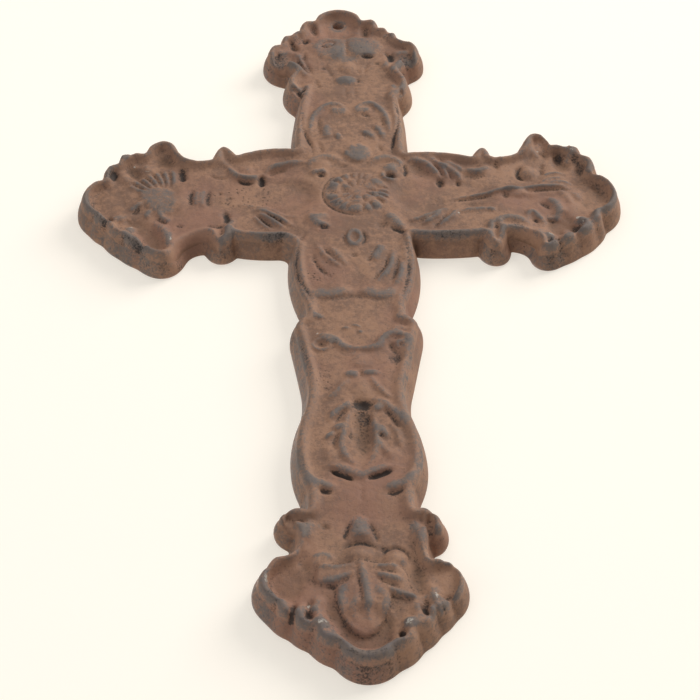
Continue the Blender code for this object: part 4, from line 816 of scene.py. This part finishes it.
def carve_bottom_leaf(relief):
    """The acanthus of the foot: a knob, a band over it, two scrolls and a veined leaf in a deep channel."""
    each(relief.ridges,
         ((1.3, 0.8, 0.1), [(-5.4, -169), (-2.4, -167.6), (2, -167.6), (5, -169.4)]),
         ((0.9, 0.9, 0.75), [(-17.4, -177.2), (-13.9, -175), (-10.9, -176), (-8.9, -178.1)]))
    each(relief.grooves,
         ((0.8, 1, 0.8), [(-3, -161.4), (-4.9, -165.4), (-6.2, -170)],
          [(1.8, -161.2), (3.8, -165.4), (5.4, -171)]),
         ((0.6, 1, 0.8, 0.4), [(-7, -175), (-5.6, -172), (-0.8, -170.6), (4, -172), (5.4, -175)]),
         ((0.6, 1, 0.7, 0.4), [(6.2, -177.4), (7.7, -174), (11.3, -172.6), (14.9, -175.2), (15.4, -179.4)]))
    each(relief.boss, ((-0.8, -164), (4.8, 5.4), 1.6, 0.95), ((-0.8, -175.4), (5.6, 4.2), 1.9),
         ((10.8, -177.4), (4.6, 4.6), 1.7), ((-13.4, -178), (4.6, 3.2), 1.1))
    each(relief.hollow, ((6.8, -173.4), (1.4, 1.4), 1.1, 1), ((-12.2, -163.8), (1.8, 1.3), 1.1, 0.7))
    each(relief.stain, ((13.4, -179.4), (1.6, 2), 0.9), ((-14.5, -163), (3.6, 1.8), 0.6))
    each(relief.dish, ((-24.6, -186), (8, 8.5), 7.3, 0, 0.6), ((27, -186.6), (5.2, 9), 7.8, -8, 0.5))
    each(relief.stroke,
         ([(17, -170), (18.6, -178), (18, -186), (18.6, -194)], 2.8, -1.5, 0, 0.2),
         ([(-20.4, -171), (-19.6, -178), (-17.6, -183), (-16.6, -189)], 2.2, -1, 0, 0.15))
    relief.dish((1.5, -207), (9.5, 5), 7.6, 0, 0.5)
    channel = [(-15, -189), (-12, -193), (-10.4, -199), (-6.6, -205), (0.6, -207.4), (7, -205.4),
               (10.4, -199.6), (12.4, -195)]
    leaf = [(-2.5, -178.4), (-8, -179.8), (-13.4, -179.8), (-15.4, -182.6), (-15, -186), (-10.6, -187),
            (-8.6, -189.4), (-8.6, -193), (-7.2, -198), (-5, -202.2), (-1.8, -205.2), (1, -205.8),
            (3.8, -204), (6.4, -200), (8.2, -195.6), (9, -191.6), (12, -192), (16.4, -192.6),
            (14.4, -187.4), (13, -182), (8, -179.8), (3, -179)]
    relief.shape(leaf, 1.1, 1.0, line=0.5)
    folds = [[(-14.6, -190.6), (-14.8, -197), (-13.4, -202.6)],
             [(-19.6, -193.4), (-20.2, -198.6), (-19.4, -203)],
             [(-25, -192.6), (-25.6, -196.6), (-25, -200)], [(16.8, -193), (17.4, -200), (16.8, -205)],
             [(22.4, -191), (22.6, -197), (22, -201)]]
    each(relief.ridges,
         ((1, 1.3, 0.95), [(-0.9, -177.2), (-0.1, -183.7), (0.9, -190.9), (1.4, -196.8), (1.5, -203)]),
         ((0.8, 0.7, 0.8), [(-2.9, -179.6), (-8, -180.6), (-12.9, -180.6), (-14.9, -182.3)],
          [(-14.8, -186.2), (-10.4, -186.4), (-6, -184.4), (-2.5, -182)],
          [(3, -180.6), (8, -180.3), (12.4, -181.6)], [(3.6, -183.2), (8.8, -185.2), (13.7, -186.6)],
          [(6, -187), (11.4, -191), (16.4, -192.3), (23, -191.4)]),
         ((1, 0.5, 0.55), [(-3, -186), (-6.6, -189.4), (-7.4, -193), (-6, -198)],
          [(-1.6, -191), (-3.4, -196), (-3, -201)], [(3.4, -187), (6.6, -191.6), (6.8, -196), (5, -201)]),
         ((1.5, 1.7, 0.3), *folds),
         ((1.5, 1.4, 0.7, 0.1), [(-17, -201.4), (-13.4, -201.8), (-10.4, -205), (-8.6, -209)],
          [(12, -201.4), (14.8, -202.4), (15.4, -205.6)]),
         ((1.5, 1, 0.6, 0.3), [(-31.4, -181), (-32, -187.6), (-30, -191.6), (-26.6, -194.2)]),
         ((1.5, 1.5, 0.5), [(23, -178.8), (26.8, -177.8), (30, -180)],
          [(23.6, -187), (22.8, -191), (24.2, -195.4)], [(18, -161), (18.6, -167), (20.6, -173.6)],
          [(-17.6, -160.6), (-18, -166), (-19.6, -170)]))
    each(relief.grooves,
         ((0.7, 0.9, 0.6), [(-2.3, -179), (-1.6, -185), (-0.7, -191), (-0.2, -198)]),
         ((0.7, 0.8, 0.5), [(-13, -188), (-9, -188), (-5.6, -185.8), (-2.2, -183.6)],
          [(3.4, -182), (8, -182.8), (12.4, -184)], [(4, -185), (8.2, -187.6), (12.6, -189.2)]),
         ((1.1, 1.6, 0.8), [(-17.2, -192.6), (-17.6, -197), (-17, -203.4)],
          [(-22.6, -194), (-23, -198), (-22.4, -201.4)], [(19.7, -193), (20.2, -198), (19.6, -203)],
          [(24.8, -194), (25.2, -198.4)], [(12.2, -205), (12, -209)]))
    each(relief.stroke,
         (channel, 3, -0.8, 0, 0.1),
         ([(-8.2, -190), (-7.6, -196), (-5.4, -201), (-1.8, -204.8)], 0.7, 0.3, 0.5, 0.5),
         ([(8.6, -191), (7.9, -196), (6, -200.6), (3, -204.6)], 0.6, 0.3, 0.4, 0.3))
    each(relief.boss, ((0.6, -190), (8.5, 15), 0.8, 0.1), ((9, -184), (5, 4.4), 0.7),
         ((-9.6, -183.4), (5.4, 3.4), 0.6))
    relief.hollow((28, -162.6), (2.4, 4.6), 1.6, 0.3)
    each(relief.stain, ((-6.4, -190.4), (2.4, 6.4), 0.45, 0, 8), ((-10.6, -185.2), (3.2, 1.6), 0.6),
         ((4.6, -190), (1.8, 2.6), 0.5), ((10.6, -195.4), (2, 3.6), 0, 0.3, 15),
         ((-18.6, -165), (2.4, 5.6), 0.5, 0.3), ((17.2, -164.4), (2.4, 4.6), 0.6, 0.3))
    each(relief.scuff, ((-31.4, -185.4), (1, 2.8), 0.9), ((23.4, -192.4), (1, 2.8), 1),
         ((-13.2, -202.6), (3, 1.2), 0.9, 20), ((-17.6, -195.6), (0.9, 2), 0.9),
         ((14.2, -202.8), (1.9, 1.9), 1), ((-1.5, -161.4), (0.9, 0.9), 0.7))


def carve_saddles(relief):
    """The rim rolled down to the wall between ear and bud, the notches between small lobes, sooty edges."""
    saddles = [((-61.5, -30.5), (12.5, 16.5), 2.2), ((65.4, -29), (10.5, 13), 2.6),
               ((-62, 32), (10.5, 12), 6), ((63.4, 33), (10.5, 12), 6), ((-26.5, -170), (7.5, 8), 4),
               ((27, -173), (7.5, 8), 4), ((-30, 81.6), (8, 7), 4.5), ((29.4, 83), (8, 7), 4.5)]
    for centre, size, foot in saddles:
        relief.dish(centre, size, foot, soft=0.8)
        relief.stain(centre, size, -0.9, -0.6)
    notches = [(-97.8, -15.8), (-91, -23.2), (-83.6, -28.6), (-96.2, 21.5), (-90.8, 27), (-85.2, 28),
               (-101, 12), (-103.4, -9.6), (99.6, -11), (96.2, -18), (89, -24.2), (81.2, -29), (99, 13.4),
               (95.4, 24.6), (88.4, 30.4), (-16.6, -204.4), (-22.8, -199.8), (-28.4, -195.4),
               (-8.6, -210.6), (10, -212), (17.4, -205.2), (23.2, -199.4), (28.4, -193.8), (-15.2, 118),
               (-21.8, 110.8), (-25.4, 107.8), (-29.8, 101.2), (7.4, 118.2), (14.2, 112.6), (18.3, 110.4),
               (22.4, 105.4), (25.4, 103.2)]
    for centre in notches:
        relief.hollow(centre, (3.2, 3.2), 1.9)
    sooty_edges = [[(-42, -22.4), (-34, -22.8), (-26, -22.6), (-20, -21.2)],
                    [(24, -22), (32, -22.4), (42, -22), (49, -21.4)],
                    [(-102.6, -8), (-99, -12.6), (-95.4, -15.4)],
                    [(-91, -20), (-87, -24.6), (-82, -28.6), (-76, -31.6)],
                    [(61.6, -17.2), (66, -18.2), (70.4, -20)], [(-7, -212.6), (0, -215), (7, -213.6)],
                    [(-31, -188), (-29, -193), (-25, -195.6)]]
    for points in sooty_edges:
        relief.stroke(points, 1.7, 0.0, 0.5, 0.95)


CARVINGS = (carve_tips, carve_ears, carve_scallops, carve_top_leaf, carve_upper_barrel, carve_crossing,
            carve_left_arm, carve_right_arm, carve_left_leaf, carve_right_leaf, carve_lower_barrel,
            carve_vase, carve_bottom_leaf, carve_saddles)


def carved_front(x, y, edge, near_side):
    """The finished front in drawing units of depth, kept under the thickness and rounded at its edge."""
    relief = Relief(x, y, edge, ground(x, y, edge))
    for carving in CARVINGS:
        carving(relief)
    worn_rim = np.exp(-((edge - WORN_RIM_CENTRE) / WORN_RIM_SPREAD) ** 2) * smooth(near_side * 1.6 - 0.2)
    worn_rim = worn_rim * smooth(0.55 + 1.6 * noise_at(x, y, WORN_RIM_BREAKS, 5.0))
    relief.worn += WORN_RIM_WEAR * worn_rim
    relief.soot += WORN_RIM_SOOT * worn_rim
    relief.height += SKIN_ROUGHNESS * rough_at(x, y, SKIN_SCALE, 0.0, SKIN_OCTAVES)
    knee = DRAWN_THICKNESS - SOFT_TOP
    over = np.clip(relief.height - knee, 0, None)
    height = np.minimum(relief.height, knee) + SOFT_TOP_RISE * (1 - np.exp(-over / SOFT_TOP_RISE))
    inset = np.clip(1 - edge / EDGE_ROUND, 0, 1)
    relief.height = height - EDGE_ROUND * (1 - np.sqrt(np.clip(1 - inset * inset, 0, 1)))
    return relief


def nearest_on(outline, x, y):
    """How far each point lies from a closed outline, and which of its points is nearest."""
    following = np.roll(outline, -1, axis=0)
    samples = np.concatenate([outline + (following - outline) * t for t in (0, 0.25, 0.5, 0.75)])
    tree = KDTree(len(samples))
    for k, (a, b) in enumerate(samples):
        tree.insert((a, b, 0.0), k)
    tree.balance()
    found = [tree.find((a, b, 0.0)) for a, b in zip(x, y)]
    away = np.array([item[2] for item in found])
    nearest = np.array([item[1] for item in found]) % len(outline)
    return away, nearest


def inside(outline, points):
    """Whether each point lies inside a closed outline."""
    crossed = np.zeros(len(points), bool)
    for (x0, y0), (x1, y1) in zip(outline, np.roll(outline, -1, axis=0)):
        spans = (y0 > points[:, 1]) != (y1 > points[:, 1])
        if y0 != y1:
            crossed ^= spans & (points[:, 0] < x0 + (x1 - x0) * (points[:, 1] - y0) / (y1 - y0))
    return crossed


def triangulate(loops, extra):
    """Triangles of the region between an outer loop and its holes, through some extra points."""
    points = [Vector(p) for loop in loops for p in loop] + [Vector(p) for p in extra]
    edges, first = [], 0
    for loop in loops:
        edges += [(first + k, first + (k + 1) % len(loop)) for k in range(len(loop))]
        first += len(loop)
    _, _, faces, origins, _, _ = delaunay_2d_cdt(points, edges, [], 2, 1e-6)
    source = [origin[0] for origin in origins]
    corners = np.array([[source[k] for k in face] for face in faces])
    flat = np.array([tuple(p) for p in points])
    middle = flat[corners].mean(axis=1)
    open_area = np.zeros(len(corners), bool)
    for loop in loops[1:]:
        open_area |= inside(np.array(loop), middle)
    corners = corners[~open_area]
    a, b, c = (flat[corners[:, k]] for k in range(3))
    turn = (b[:, 0] - a[:, 0]) * (c[:, 1] - a[:, 1]) - (b[:, 1] - a[:, 1]) * (c[:, 0] - a[:, 0])
    corners[turn < 0] = corners[turn < 0][:, ::-1]
    return corners


def front_points(outline):
    """Rings of points just inside the outline, then an even triangular grid."""
    normal = outward(outline, 2)
    rings = []
    for distance in RIM_RINGS:
        ring = outline - normal * distance
        away, _ = nearest_on(outline, ring[:, 0], ring[:, 1])
        rings.append(ring[away > 0.93 * distance])
    low, high = outline.min(axis=0), outline.max(axis=0)
    rows = np.arange(low[1], high[1], GRID_STEP * math.sqrt(3) / 2)
    grid = []
    for k, y in enumerate(rows):
        x = np.arange(low[0] + (k % 2) * GRID_STEP / 2, high[0], GRID_STEP)
        grid.append(np.stack([x, np.full_like(x, y)], axis=1))
    grid = np.concatenate(grid)
    grid = grid[inside(outline, grid)]
    away, _ = nearest_on(outline, grid[:, 0], grid[:, 1])
    grid = grid[away > RIM_RINGS[-1] + 0.6 * GRID_STEP]
    points = np.concatenate(rings + [grid])
    from_hole = np.hypot(points[:, 0] - NAIL_HOLE[0], points[:, 1] - NAIL_HOLE[1])
    return points[from_hole > NAIL_HOLE_RADIUS + 0.4 * GRID_STEP]


def hollow_corners():
    """The outline of the hollow behind: the cross again, plainer, with its inner corners eased by arcs."""
    stem, end = STEM_HOLLOW, END_HOLLOW
    return [(-end + 4, 96, 0.0), (-end, 92, 0.0), (-end, 88, 0.0), (-stem, 78, 0.0),
            (-stem, stem + 4, -2.0), (-stem - 4, stem, 0.0), (-62, stem, 0.0), (-72, end, 0.0),
            (-86, end - 2, 0.0), (-95, 8, 3.0), (-95, -8, 0.0), (-86, -end + 2, 0.0), (-72, -end, 0.0),
            (-62, -stem, 0.0), (-stem - 4, -stem, -2.0), (-stem, -stem - 4, 0.0), (-stem, -168, 0.0),
            (-end - 2, -180, 0.0), (-end - 2, -190, 0.0), (-8, -204, 2.5), (8, -204, 0.0),
            (end + 2, -190, 0.0), (end + 2, -180, 0.0), (stem, -168, 0.0), (stem, -stem - 4, -2.0),
            (stem + 4, -stem, 0.0), (62, -stem, 0.0), (72, -end, 0.0), (86, -end + 2, 0.0), (95, -8, 3.0),
            (95, 8, 0.0), (86, end - 2, 0.0), (72, end, 0.0), (62, stem, 0.0), (stem + 4, stem, -2.0),
            (stem, stem + 4, 0.0), (stem, 78, 0.0), (end - 3, 88, 0.0), (end - 3, 92, 0.0),
            (end - 7, 96, 0.0)]


def circle(centre, radius, count):
    """Points round a circle, anticlockwise."""
    turns = np.arange(count) * 2 * math.pi / count
    return np.stack([centre[0] + radius * np.cos(turns), centre[1] + radius * np.sin(turns)], axis=1)


class CrossMesh:
    """Collects the rows of points and the faces of the cross, with the finish at each point."""

    def __init__(self):
        self.points, self.depths, self.finish, self.faces = [], [], [], []
        self.count = 0

    def add(self, points, depth, worn=0.0, soot=0.0, chalk=0.0, pitted=0.0):
        """Takes in a row of points and says where it starts."""
        first, size = self.count, len(points)
        self.points.append(np.asarray(points, float))
        self.depths.append(np.broadcast_to(depth, size))
        self.finish.append(np.stack([np.broadcast_to(v, size) for v in (worn, soot, chalk, pitted)], axis=1))
        self.count += size
        return first

    def band(self, near, far, size):
        """Two triangles between each pair of neighbours of two rows."""
        k = np.arange(size)
        after = (k + 1) % size
        self.faces.append(np.stack([near + k, near + after, far + after], axis=1))
        self.faces.append(np.stack([near + k, far + after, far + k], axis=1))

    def backing(self, loops, starts):
        """Flat triangles between loops that face the wall."""
        places = np.concatenate([start + np.arange(len(loop)) for loop, start in zip(loops, starts)])
        self.faces.append(places[triangulate(loops, [])][:, ::-1])


def add_wall(mesh, rim, base, lean, above):
    """The fluted side wall, in rows from the rim down to the wider foot. Says where the last row starts."""
    size, start = len(rim), 0
    flute = ((rim - smoothed(rim, FLUTE_BLUR)) * outward(rim, 8)).sum(axis=1)
    stripes = noise_at(rim[:, 0], rim[:, 1], STRIPE_SCALE, 9.0)
    left_face_shade, facing_down = np.clip(-lean, 0, 1).T
    stained = Relief(rim[:, 0], rim[:, 1], np.zeros(size), above)
    each(stained.stain, *WALL_STAINS)
    for row in range(1, WALL_ROWS + 1):
        down = row / WALL_ROWS
        line = rim + (base - rim) * (1 - (1 - down) ** WALL_CURVE)
        wander = rough_at(line[:, 0], line[:, 1], WALL_SKIN_SCALE, down * 4, 3)
        push = FLUTE_DEPTH * flute * 4 * down * (1 - down) - WALL_ROUGHNESS * (1 + wander) * (1 - down)
        line = line + lean * push[:, None]
        near_rim = 0.7 * facing_down * math.exp(-down / RIM_STAIN_REACH)
        # Painted shade: walls facing left, away from the key light, get more of the darker grey of wear
        worn = 0.08 + 0.2 * near_rim + 0.62 * left_face_shade + 0.4 * np.clip(stripes, 0, 1) + stained.worn
        soot = 0.35 * near_rim + 0.8 * np.clip(-stripes, 0, 1) + stained.soot * (1 - 0.4 * down)
        below = mesh.add(line, above * (1 - down), worn=worn, soot=soot)
        mesh.band(below, start, size)
        start = below
    return start


def add_back(mesh, hole, hole_start, base, foot):
    """The bore of the nail hole, the flat back rim and the hollow behind."""
    back_hole = mesh.add(hole, 0.0)
    mesh.band(hole_start, back_hole, len(hole))
    hollow = outline_points(hollow_corners(), HOLLOW_STEP)
    floor = hollow - outward(hollow, 0) * HOLLOW_DRAFT
    hollow_edge = mesh.add(hollow, 0.0)
    hollow_floor = mesh.add(floor, HOLLOW_DEPTH)
    mesh.backing([base, hole, hollow], [foot, back_hole, hollow_edge])
    mesh.band(hollow_floor, hollow_edge, len(hollow))
    mesh.backing([floor], [hollow_floor])


def build_cross_mesh():
    """The whole cross in drawing units: front, wall, nail hole and back."""
    rim = smoothed(outline_points(OUTLINE, RIM_STEP), 1)
    base = flared(rim, WALL_FLARE)
    size = len(rim)
    hole = circle(NAIL_HOLE, NAIL_HOLE_RADIUS, HOLE_SIDES)
    field = front_points(rim)
    front = np.concatenate([rim, hole, field])
    edge, nearest = nearest_on(rim, front[:, 0], front[:, 1])
    edge[:size] = 0
    lean = outward(rim, WALL_BLUR)
    relief = carved_front(front[:, 0], front[:, 1], edge, -lean[nearest, 1])
    mesh = CrossMesh()
    mesh.add(front, relief.height, relief.worn, relief.soot, relief.chalk, relief.pitted)
    mesh.faces.append(triangulate([rim, hole], field))
    foot = add_wall(mesh, rim, base, lean, relief.height[:size])
    add_back(mesh, hole, size, base, foot)
    return mesh, base


def in_frame(points, depths, base):
    """Drawing units to the CAD node's own box, in metres."""
    low, high = base.min(axis=0), base.max(axis=0)
    across = (points[:, 0] - low[0]) / (high[0] - low[0])
    up = (points[:, 1] - low[1]) / (high[1] - low[1])
    depth = depths / DRAWN_THICKNESS
    x = CAD_LOW.x + across * (CAD_HIGH.x - CAD_LOW.x)
    y = CAD_HIGH.y - depth * (CAD_HIGH.y - CAD_LOW.y)
    z = CAD_LOW.z + up * (CAD_HIGH.z - CAD_LOW.z)
    return np.stack([x, y, z], axis=1)


def add_layer(mesh, name, values):
    """A value at each point, which the material reads by name."""
    layer = mesh.attributes.new(name, "FLOAT", "POINT")
    layer.data.foreach_set("value", values.astype(np.float32))


def make_cross():
    """The one piece, with its finish and how far each point stands out as layers for the material."""
    parts, base = build_cross_mesh()
    depths = np.concatenate(parts.depths)
    places = in_frame(np.concatenate(parts.points), depths, base)
    mesh = bpy.data.meshes.new("iron_cross")
    mesh.from_pydata(places.tolist(), [], np.concatenate(parts.faces).tolist())
    mesh.update()
    finish = np.clip(np.concatenate(parts.finish), -1.0, 1.4)
    for name, values in zip(("worn", "soot", "chalk", "pitted"), finish.T):
        add_layer(mesh, name, values)
    on_front = np.arange(len(depths)) < len(parts.points[0])
    # The hollow layer sets the painted shade in broad hollows and the painted highlight on broad raised parts
    for name, rounds, side in (("crest", CREST_ROUNDS, 1), ("hollow", HOLLOW_ROUNDS, -1)):
        rise = np.clip(side * crest_of(mesh, depths, rounds), -2.5, 1.2)
        add_layer(mesh, name, rise * on_front)
    mesh.shade_smooth()
    cross = bpy.data.objects.new("iron_cross", mesh)
    bpy.context.scene.collection.objects.link(cross)
    return cross


def crest_of(mesh, depths, rounds):
    """How far each point stands over the mean of the surface round it, in drawing units."""
    edges = np.zeros(len(mesh.edges) * 2, int)
    mesh.edges.foreach_get("vertices", edges)
    a, b = edges.reshape(-1, 2).T
    neighbours = np.bincount(a, minlength=len(depths)) + np.bincount(b, minlength=len(depths))
    mean = depths.copy()
    for _ in range(rounds):
        total = np.bincount(a, mean[b], len(depths)) + np.bincount(b, mean[a], len(depths))
        mean = total / np.maximum(neighbours, 1)
    return depths - mean


class Nodes:
    """Short words for building a node tree."""

    def __init__(self, material):
        material.use_nodes = True
        self.tree = material.node_tree
        self.shader = self.tree.nodes["Principled BSDF"]
        self.place = self.node("ShaderNodeTexCoord").outputs["Object"]

    def node(self, kind, **values):
        made = self.tree.nodes.new(kind)
        for name, value in values.items():
            setattr(made, name, value)
        return made

    def link(self, source, target):
        self.tree.links.new(source, target)

    def feed(self, made, **values):
        """Sets or links inputs by name, with an underscore for each space."""
        for name, value in values.items():
            socket = made.inputs[name.replace("_", " ")]
            if isinstance(value, bpy.types.NodeSocket):
                self.link(value, socket)
            else:
                socket.default_value = value

    def attribute(self, name):
        return self.node("ShaderNodeAttribute", attribute_name=name).outputs["Fac"]

    def noise(self, scale, detail, roughness=0.55, distortion=0.0):
        made = self.node("ShaderNodeTexNoise")
        self.feed(made, Vector=self.place, Scale=scale, Detail=detail, Roughness=roughness,
                  Distortion=distortion)
        return made.outputs["Fac"]

    def cells(self, scale):
        made = self.node("ShaderNodeTexVoronoi")
        self.feed(made, Vector=self.place, Scale=scale)
        return made.outputs["Distance"]

    def math(self, operation, *values):
        made = self.node("ShaderNodeMath", operation=operation)
        for socket, value in zip(made.inputs, values):
            if isinstance(value, bpy.types.NodeSocket):
                self.link(value, socket)
            else:
                socket.default_value = value
        return made.outputs[0]

    def total(self, *terms):
        """The sum of some values, each times its weight."""
        weighted = [value if weight == 1 else self.math("MULTIPLY", value, weight) for value, weight in terms]
        result = weighted[0]
        for term in weighted[1:]:
            result = self.math("ADD", result, term)
        return result

    def span(self, value, low, high, to_low=0.0, to_high=1.0):
        """A soft step between two values."""
        made = self.node("ShaderNodeMapRange", interpolation_type="SMOOTHSTEP")
        self.feed(made, Value=value, From_Min=low, From_Max=high, To_Min=to_low, To_Max=to_high)
        return made.outputs["Result"]

    def mix(self, share, a, b):
        made = self.node("ShaderNodeMix", data_type="RGBA")
        self.feed(made, Factor=share, A=a, B=b)
        return made.outputs["Result"]

    def cover(self, colour, over, share, most):
        """One colour over another, where a share says, and never more than a most."""
        return self.mix(self.math("MULTIPLY", share, most), colour, over)


def iron_material():
    """Brown rust over cast iron: grey-blue on worn ridges, black in creases, a few pale scuffs; painted shade
    in broad hollows, on walls facing left and on the rosette's left side, and a painted highlight on broad
    raised parts.
    """
    material = bpy.data.materials.new("iron_rust")
    n = Nodes(material)
    grain, speck = n.noise(*GRAIN), n.noise(*SPECKS)
    crest, hollow, wear = n.attribute("crest"), n.attribute("hollow"), n.attribute("worn")
    tone = n.total((n.noise(*BLOTCHES), 0.62), (grain, 0.38))
    brown = n.mix(n.span(tone, 0.40, 0.60), RUST_DARK, RUST_LIGHT)
    brown = n.mix(n.span(n.noise(*CLOUDS), 0.45, 0.70, 0.0, 0.7), brown, RUST_RED)
    # Painted shade: broad hollows darkened towards deep brown
    brown = n.mix(n.span(hollow, 0.10, 1.6, 0.0, 0.60), brown, HOLLOW_SHADE_BROWN)
    # Painted highlight: broad raised parts lightened towards pale rust, along with paler worn rust
    brown = n.mix(n.span(hollow, -0.25, -1.4, 0.0, 0.30), brown, PALE_RUST_HIGHLIGHT)

    ragged = n.math("SUBTRACT", n.noise(*RAGS), 0.5)
    flecked = n.math("SUBTRACT", n.noise(*FLECKS), 0.5)
    fine = n.math("SUBTRACT", speck, 0.5)

    grey = n.mix(n.span(flecked, -0.10, 0.10), WORN_GREY, WORN_BLUE)
    # Grey of wear; the wear layer also holds painted shade on walls facing left and on the rosette's left
    # side
    worn = n.total((wear, 0.78), (crest, 0.48), (ragged, 2.3), (fine, 1.6))
    colour = n.cover(brown, grey, n.span(worn, 0.16, 1.00), 0.84)

    # Black in creases; the soot layer also holds a dark ring of painted shade on the rosette's left side
    soot = n.total((n.attribute("soot"), 0.80), (crest, -0.46), (flecked, 2.0), (fine, 2.0))
    colour = n.cover(colour, SOOT, n.span(soot, 0.24, 1.10), 0.90)

    pitted = n.total((n.attribute("pitted"), 1), (wear, 0.45), (ragged, 2.6))
    pits = n.math("MULTIPLY", n.span(n.cells(PIT_CELLS), 0.10, 0.34, 1.0, 0.0), n.span(pitted, 0.35, 1.0))
    colour = n.cover(colour, SOOT, pits, 0.55)

    scuffed = n.total((n.attribute("chalk"), 1), (fine, 2.6))
    colour = n.cover(colour, CHALK, n.span(scuffed, 0.60, 1.05), 0.8)

    bump = n.node("ShaderNodeBump")
    surface = n.total((grain, 0.8), (pits, -0.8), (speck, 0.4))
    n.feed(bump, Strength=BUMP_STRENGTH, Distance=BUMP_DISTANCE, Height=surface)
    n.feed(n.shader, Base_Color=colour, Roughness=n.span(grain, 0.3, 0.7, 0.55, 0.80),
           Specular_IOR_Level=0.30, Normal=bump.outputs["Normal"])
    return material


def wall_material():
    """Pale paint with a weak glow of its own. Seen from behind it is clear, and it casts no shadow."""
    material = bpy.data.materials.new("wall_paint")
    n = Nodes(material)
    n.feed(n.shader, Base_Color=WALL_PAINT, Roughness=0.9, Specular_IOR_Level=0.1,
           Emission_Color=WALL_GLOW, Emission_Strength=WALL_GLOW_STRENGTH)
    from_behind = n.node("ShaderNodeNewGeometry").outputs["Backfacing"]
    in_shadow = n.node("ShaderNodeLightPath").outputs["Is Shadow Ray"]
    clear = n.node("ShaderNodeBsdfTransparent")
    mix = n.node("ShaderNodeMixShader")
    n.link(n.math("MAXIMUM", from_behind, in_shadow), mix.inputs["Fac"])
    n.link(n.shader.outputs["BSDF"], mix.inputs[1])
    n.link(clear.outputs["BSDF"], mix.inputs[2])
    n.link(mix.outputs["Shader"], n.tree.nodes["Material Output"].inputs["Surface"])
    return material


def make_stage():
    """A pale wall just behind the cross."""
    y = CAD_HIGH.y + WALL_GAP
    mesh = bpy.data.meshes.new("wall")
    corners = [(x * WALL_REACH, y, z * WALL_REACH) for x, z in ((-1, -1), (1, -1), (1, 1), (-1, 1))]
    mesh.from_pydata(corners, [], [(0, 1, 2, 3)])
    mesh.materials.append(wall_material())
    wall = bpy.data.objects.new("wall", mesh)
    bpy.context.scene.collection.objects.link(wall)


def make_light():
    """A broad key light from the right, one from above, a weak one from the left and one for the back."""
    for name, (place, (wide, tall), power, colour) in LIGHTS.items():
        data = bpy.data.lights.new(name, "AREA")
        data.shape = "RECTANGLE"
        data.size = wide
        data.size_y = tall
        data.energy = power
        data.color = colour
        light = bpy.data.objects.new(name, data)
        bpy.context.scene.collection.objects.link(light)
        light.location = place
        light.rotation_euler = (Vector(LIGHT_TARGET) - Vector(place)).to_track_quat("-Z", "Y").to_euler()
    world = bpy.data.worlds.new("studio")
    bpy.context.scene.world = world
    world.use_nodes = True
    background = world.node_tree.nodes["Background"]
    background.inputs["Color"].default_value = SKY
    background.inputs["Strength"].default_value = SKY_STRENGTH


def make_camera():
    """The camera fitted to the photograph."""
    data = bpy.data.cameras.new("photograph")
    data.sensor_width = CAMERA_SENSOR
    data.lens = CAMERA_LENS
    data.clip_start = 0.01
    camera = bpy.data.objects.new("photograph", data)
    bpy.context.scene.collection.objects.link(camera)
    lying_to_hanging = Matrix(((1, 0, 0), (0, 0, -1), (0, 1, 0)))
    rx, ry, rz = CAMERA_TURNS
    turn = Matrix.Rotation(rz, 3, "Z") @ Matrix.Rotation(ry, 3, "Y") @ Matrix.Rotation(rx, 3, "X")
    camera.matrix_world = Matrix.Translation(CAMERA_PLACE) @ (lying_to_hanging @ turn).to_4x4()
    bpy.context.scene.camera = camera


def main():
    bpy.context.scene.view_settings.view_transform = "Standard"
    cross = make_cross()
    cross.data.materials.append(iron_material())
    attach(cross, "root")
    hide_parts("cross")
    make_stage()
    make_light()
    make_camera()


main()
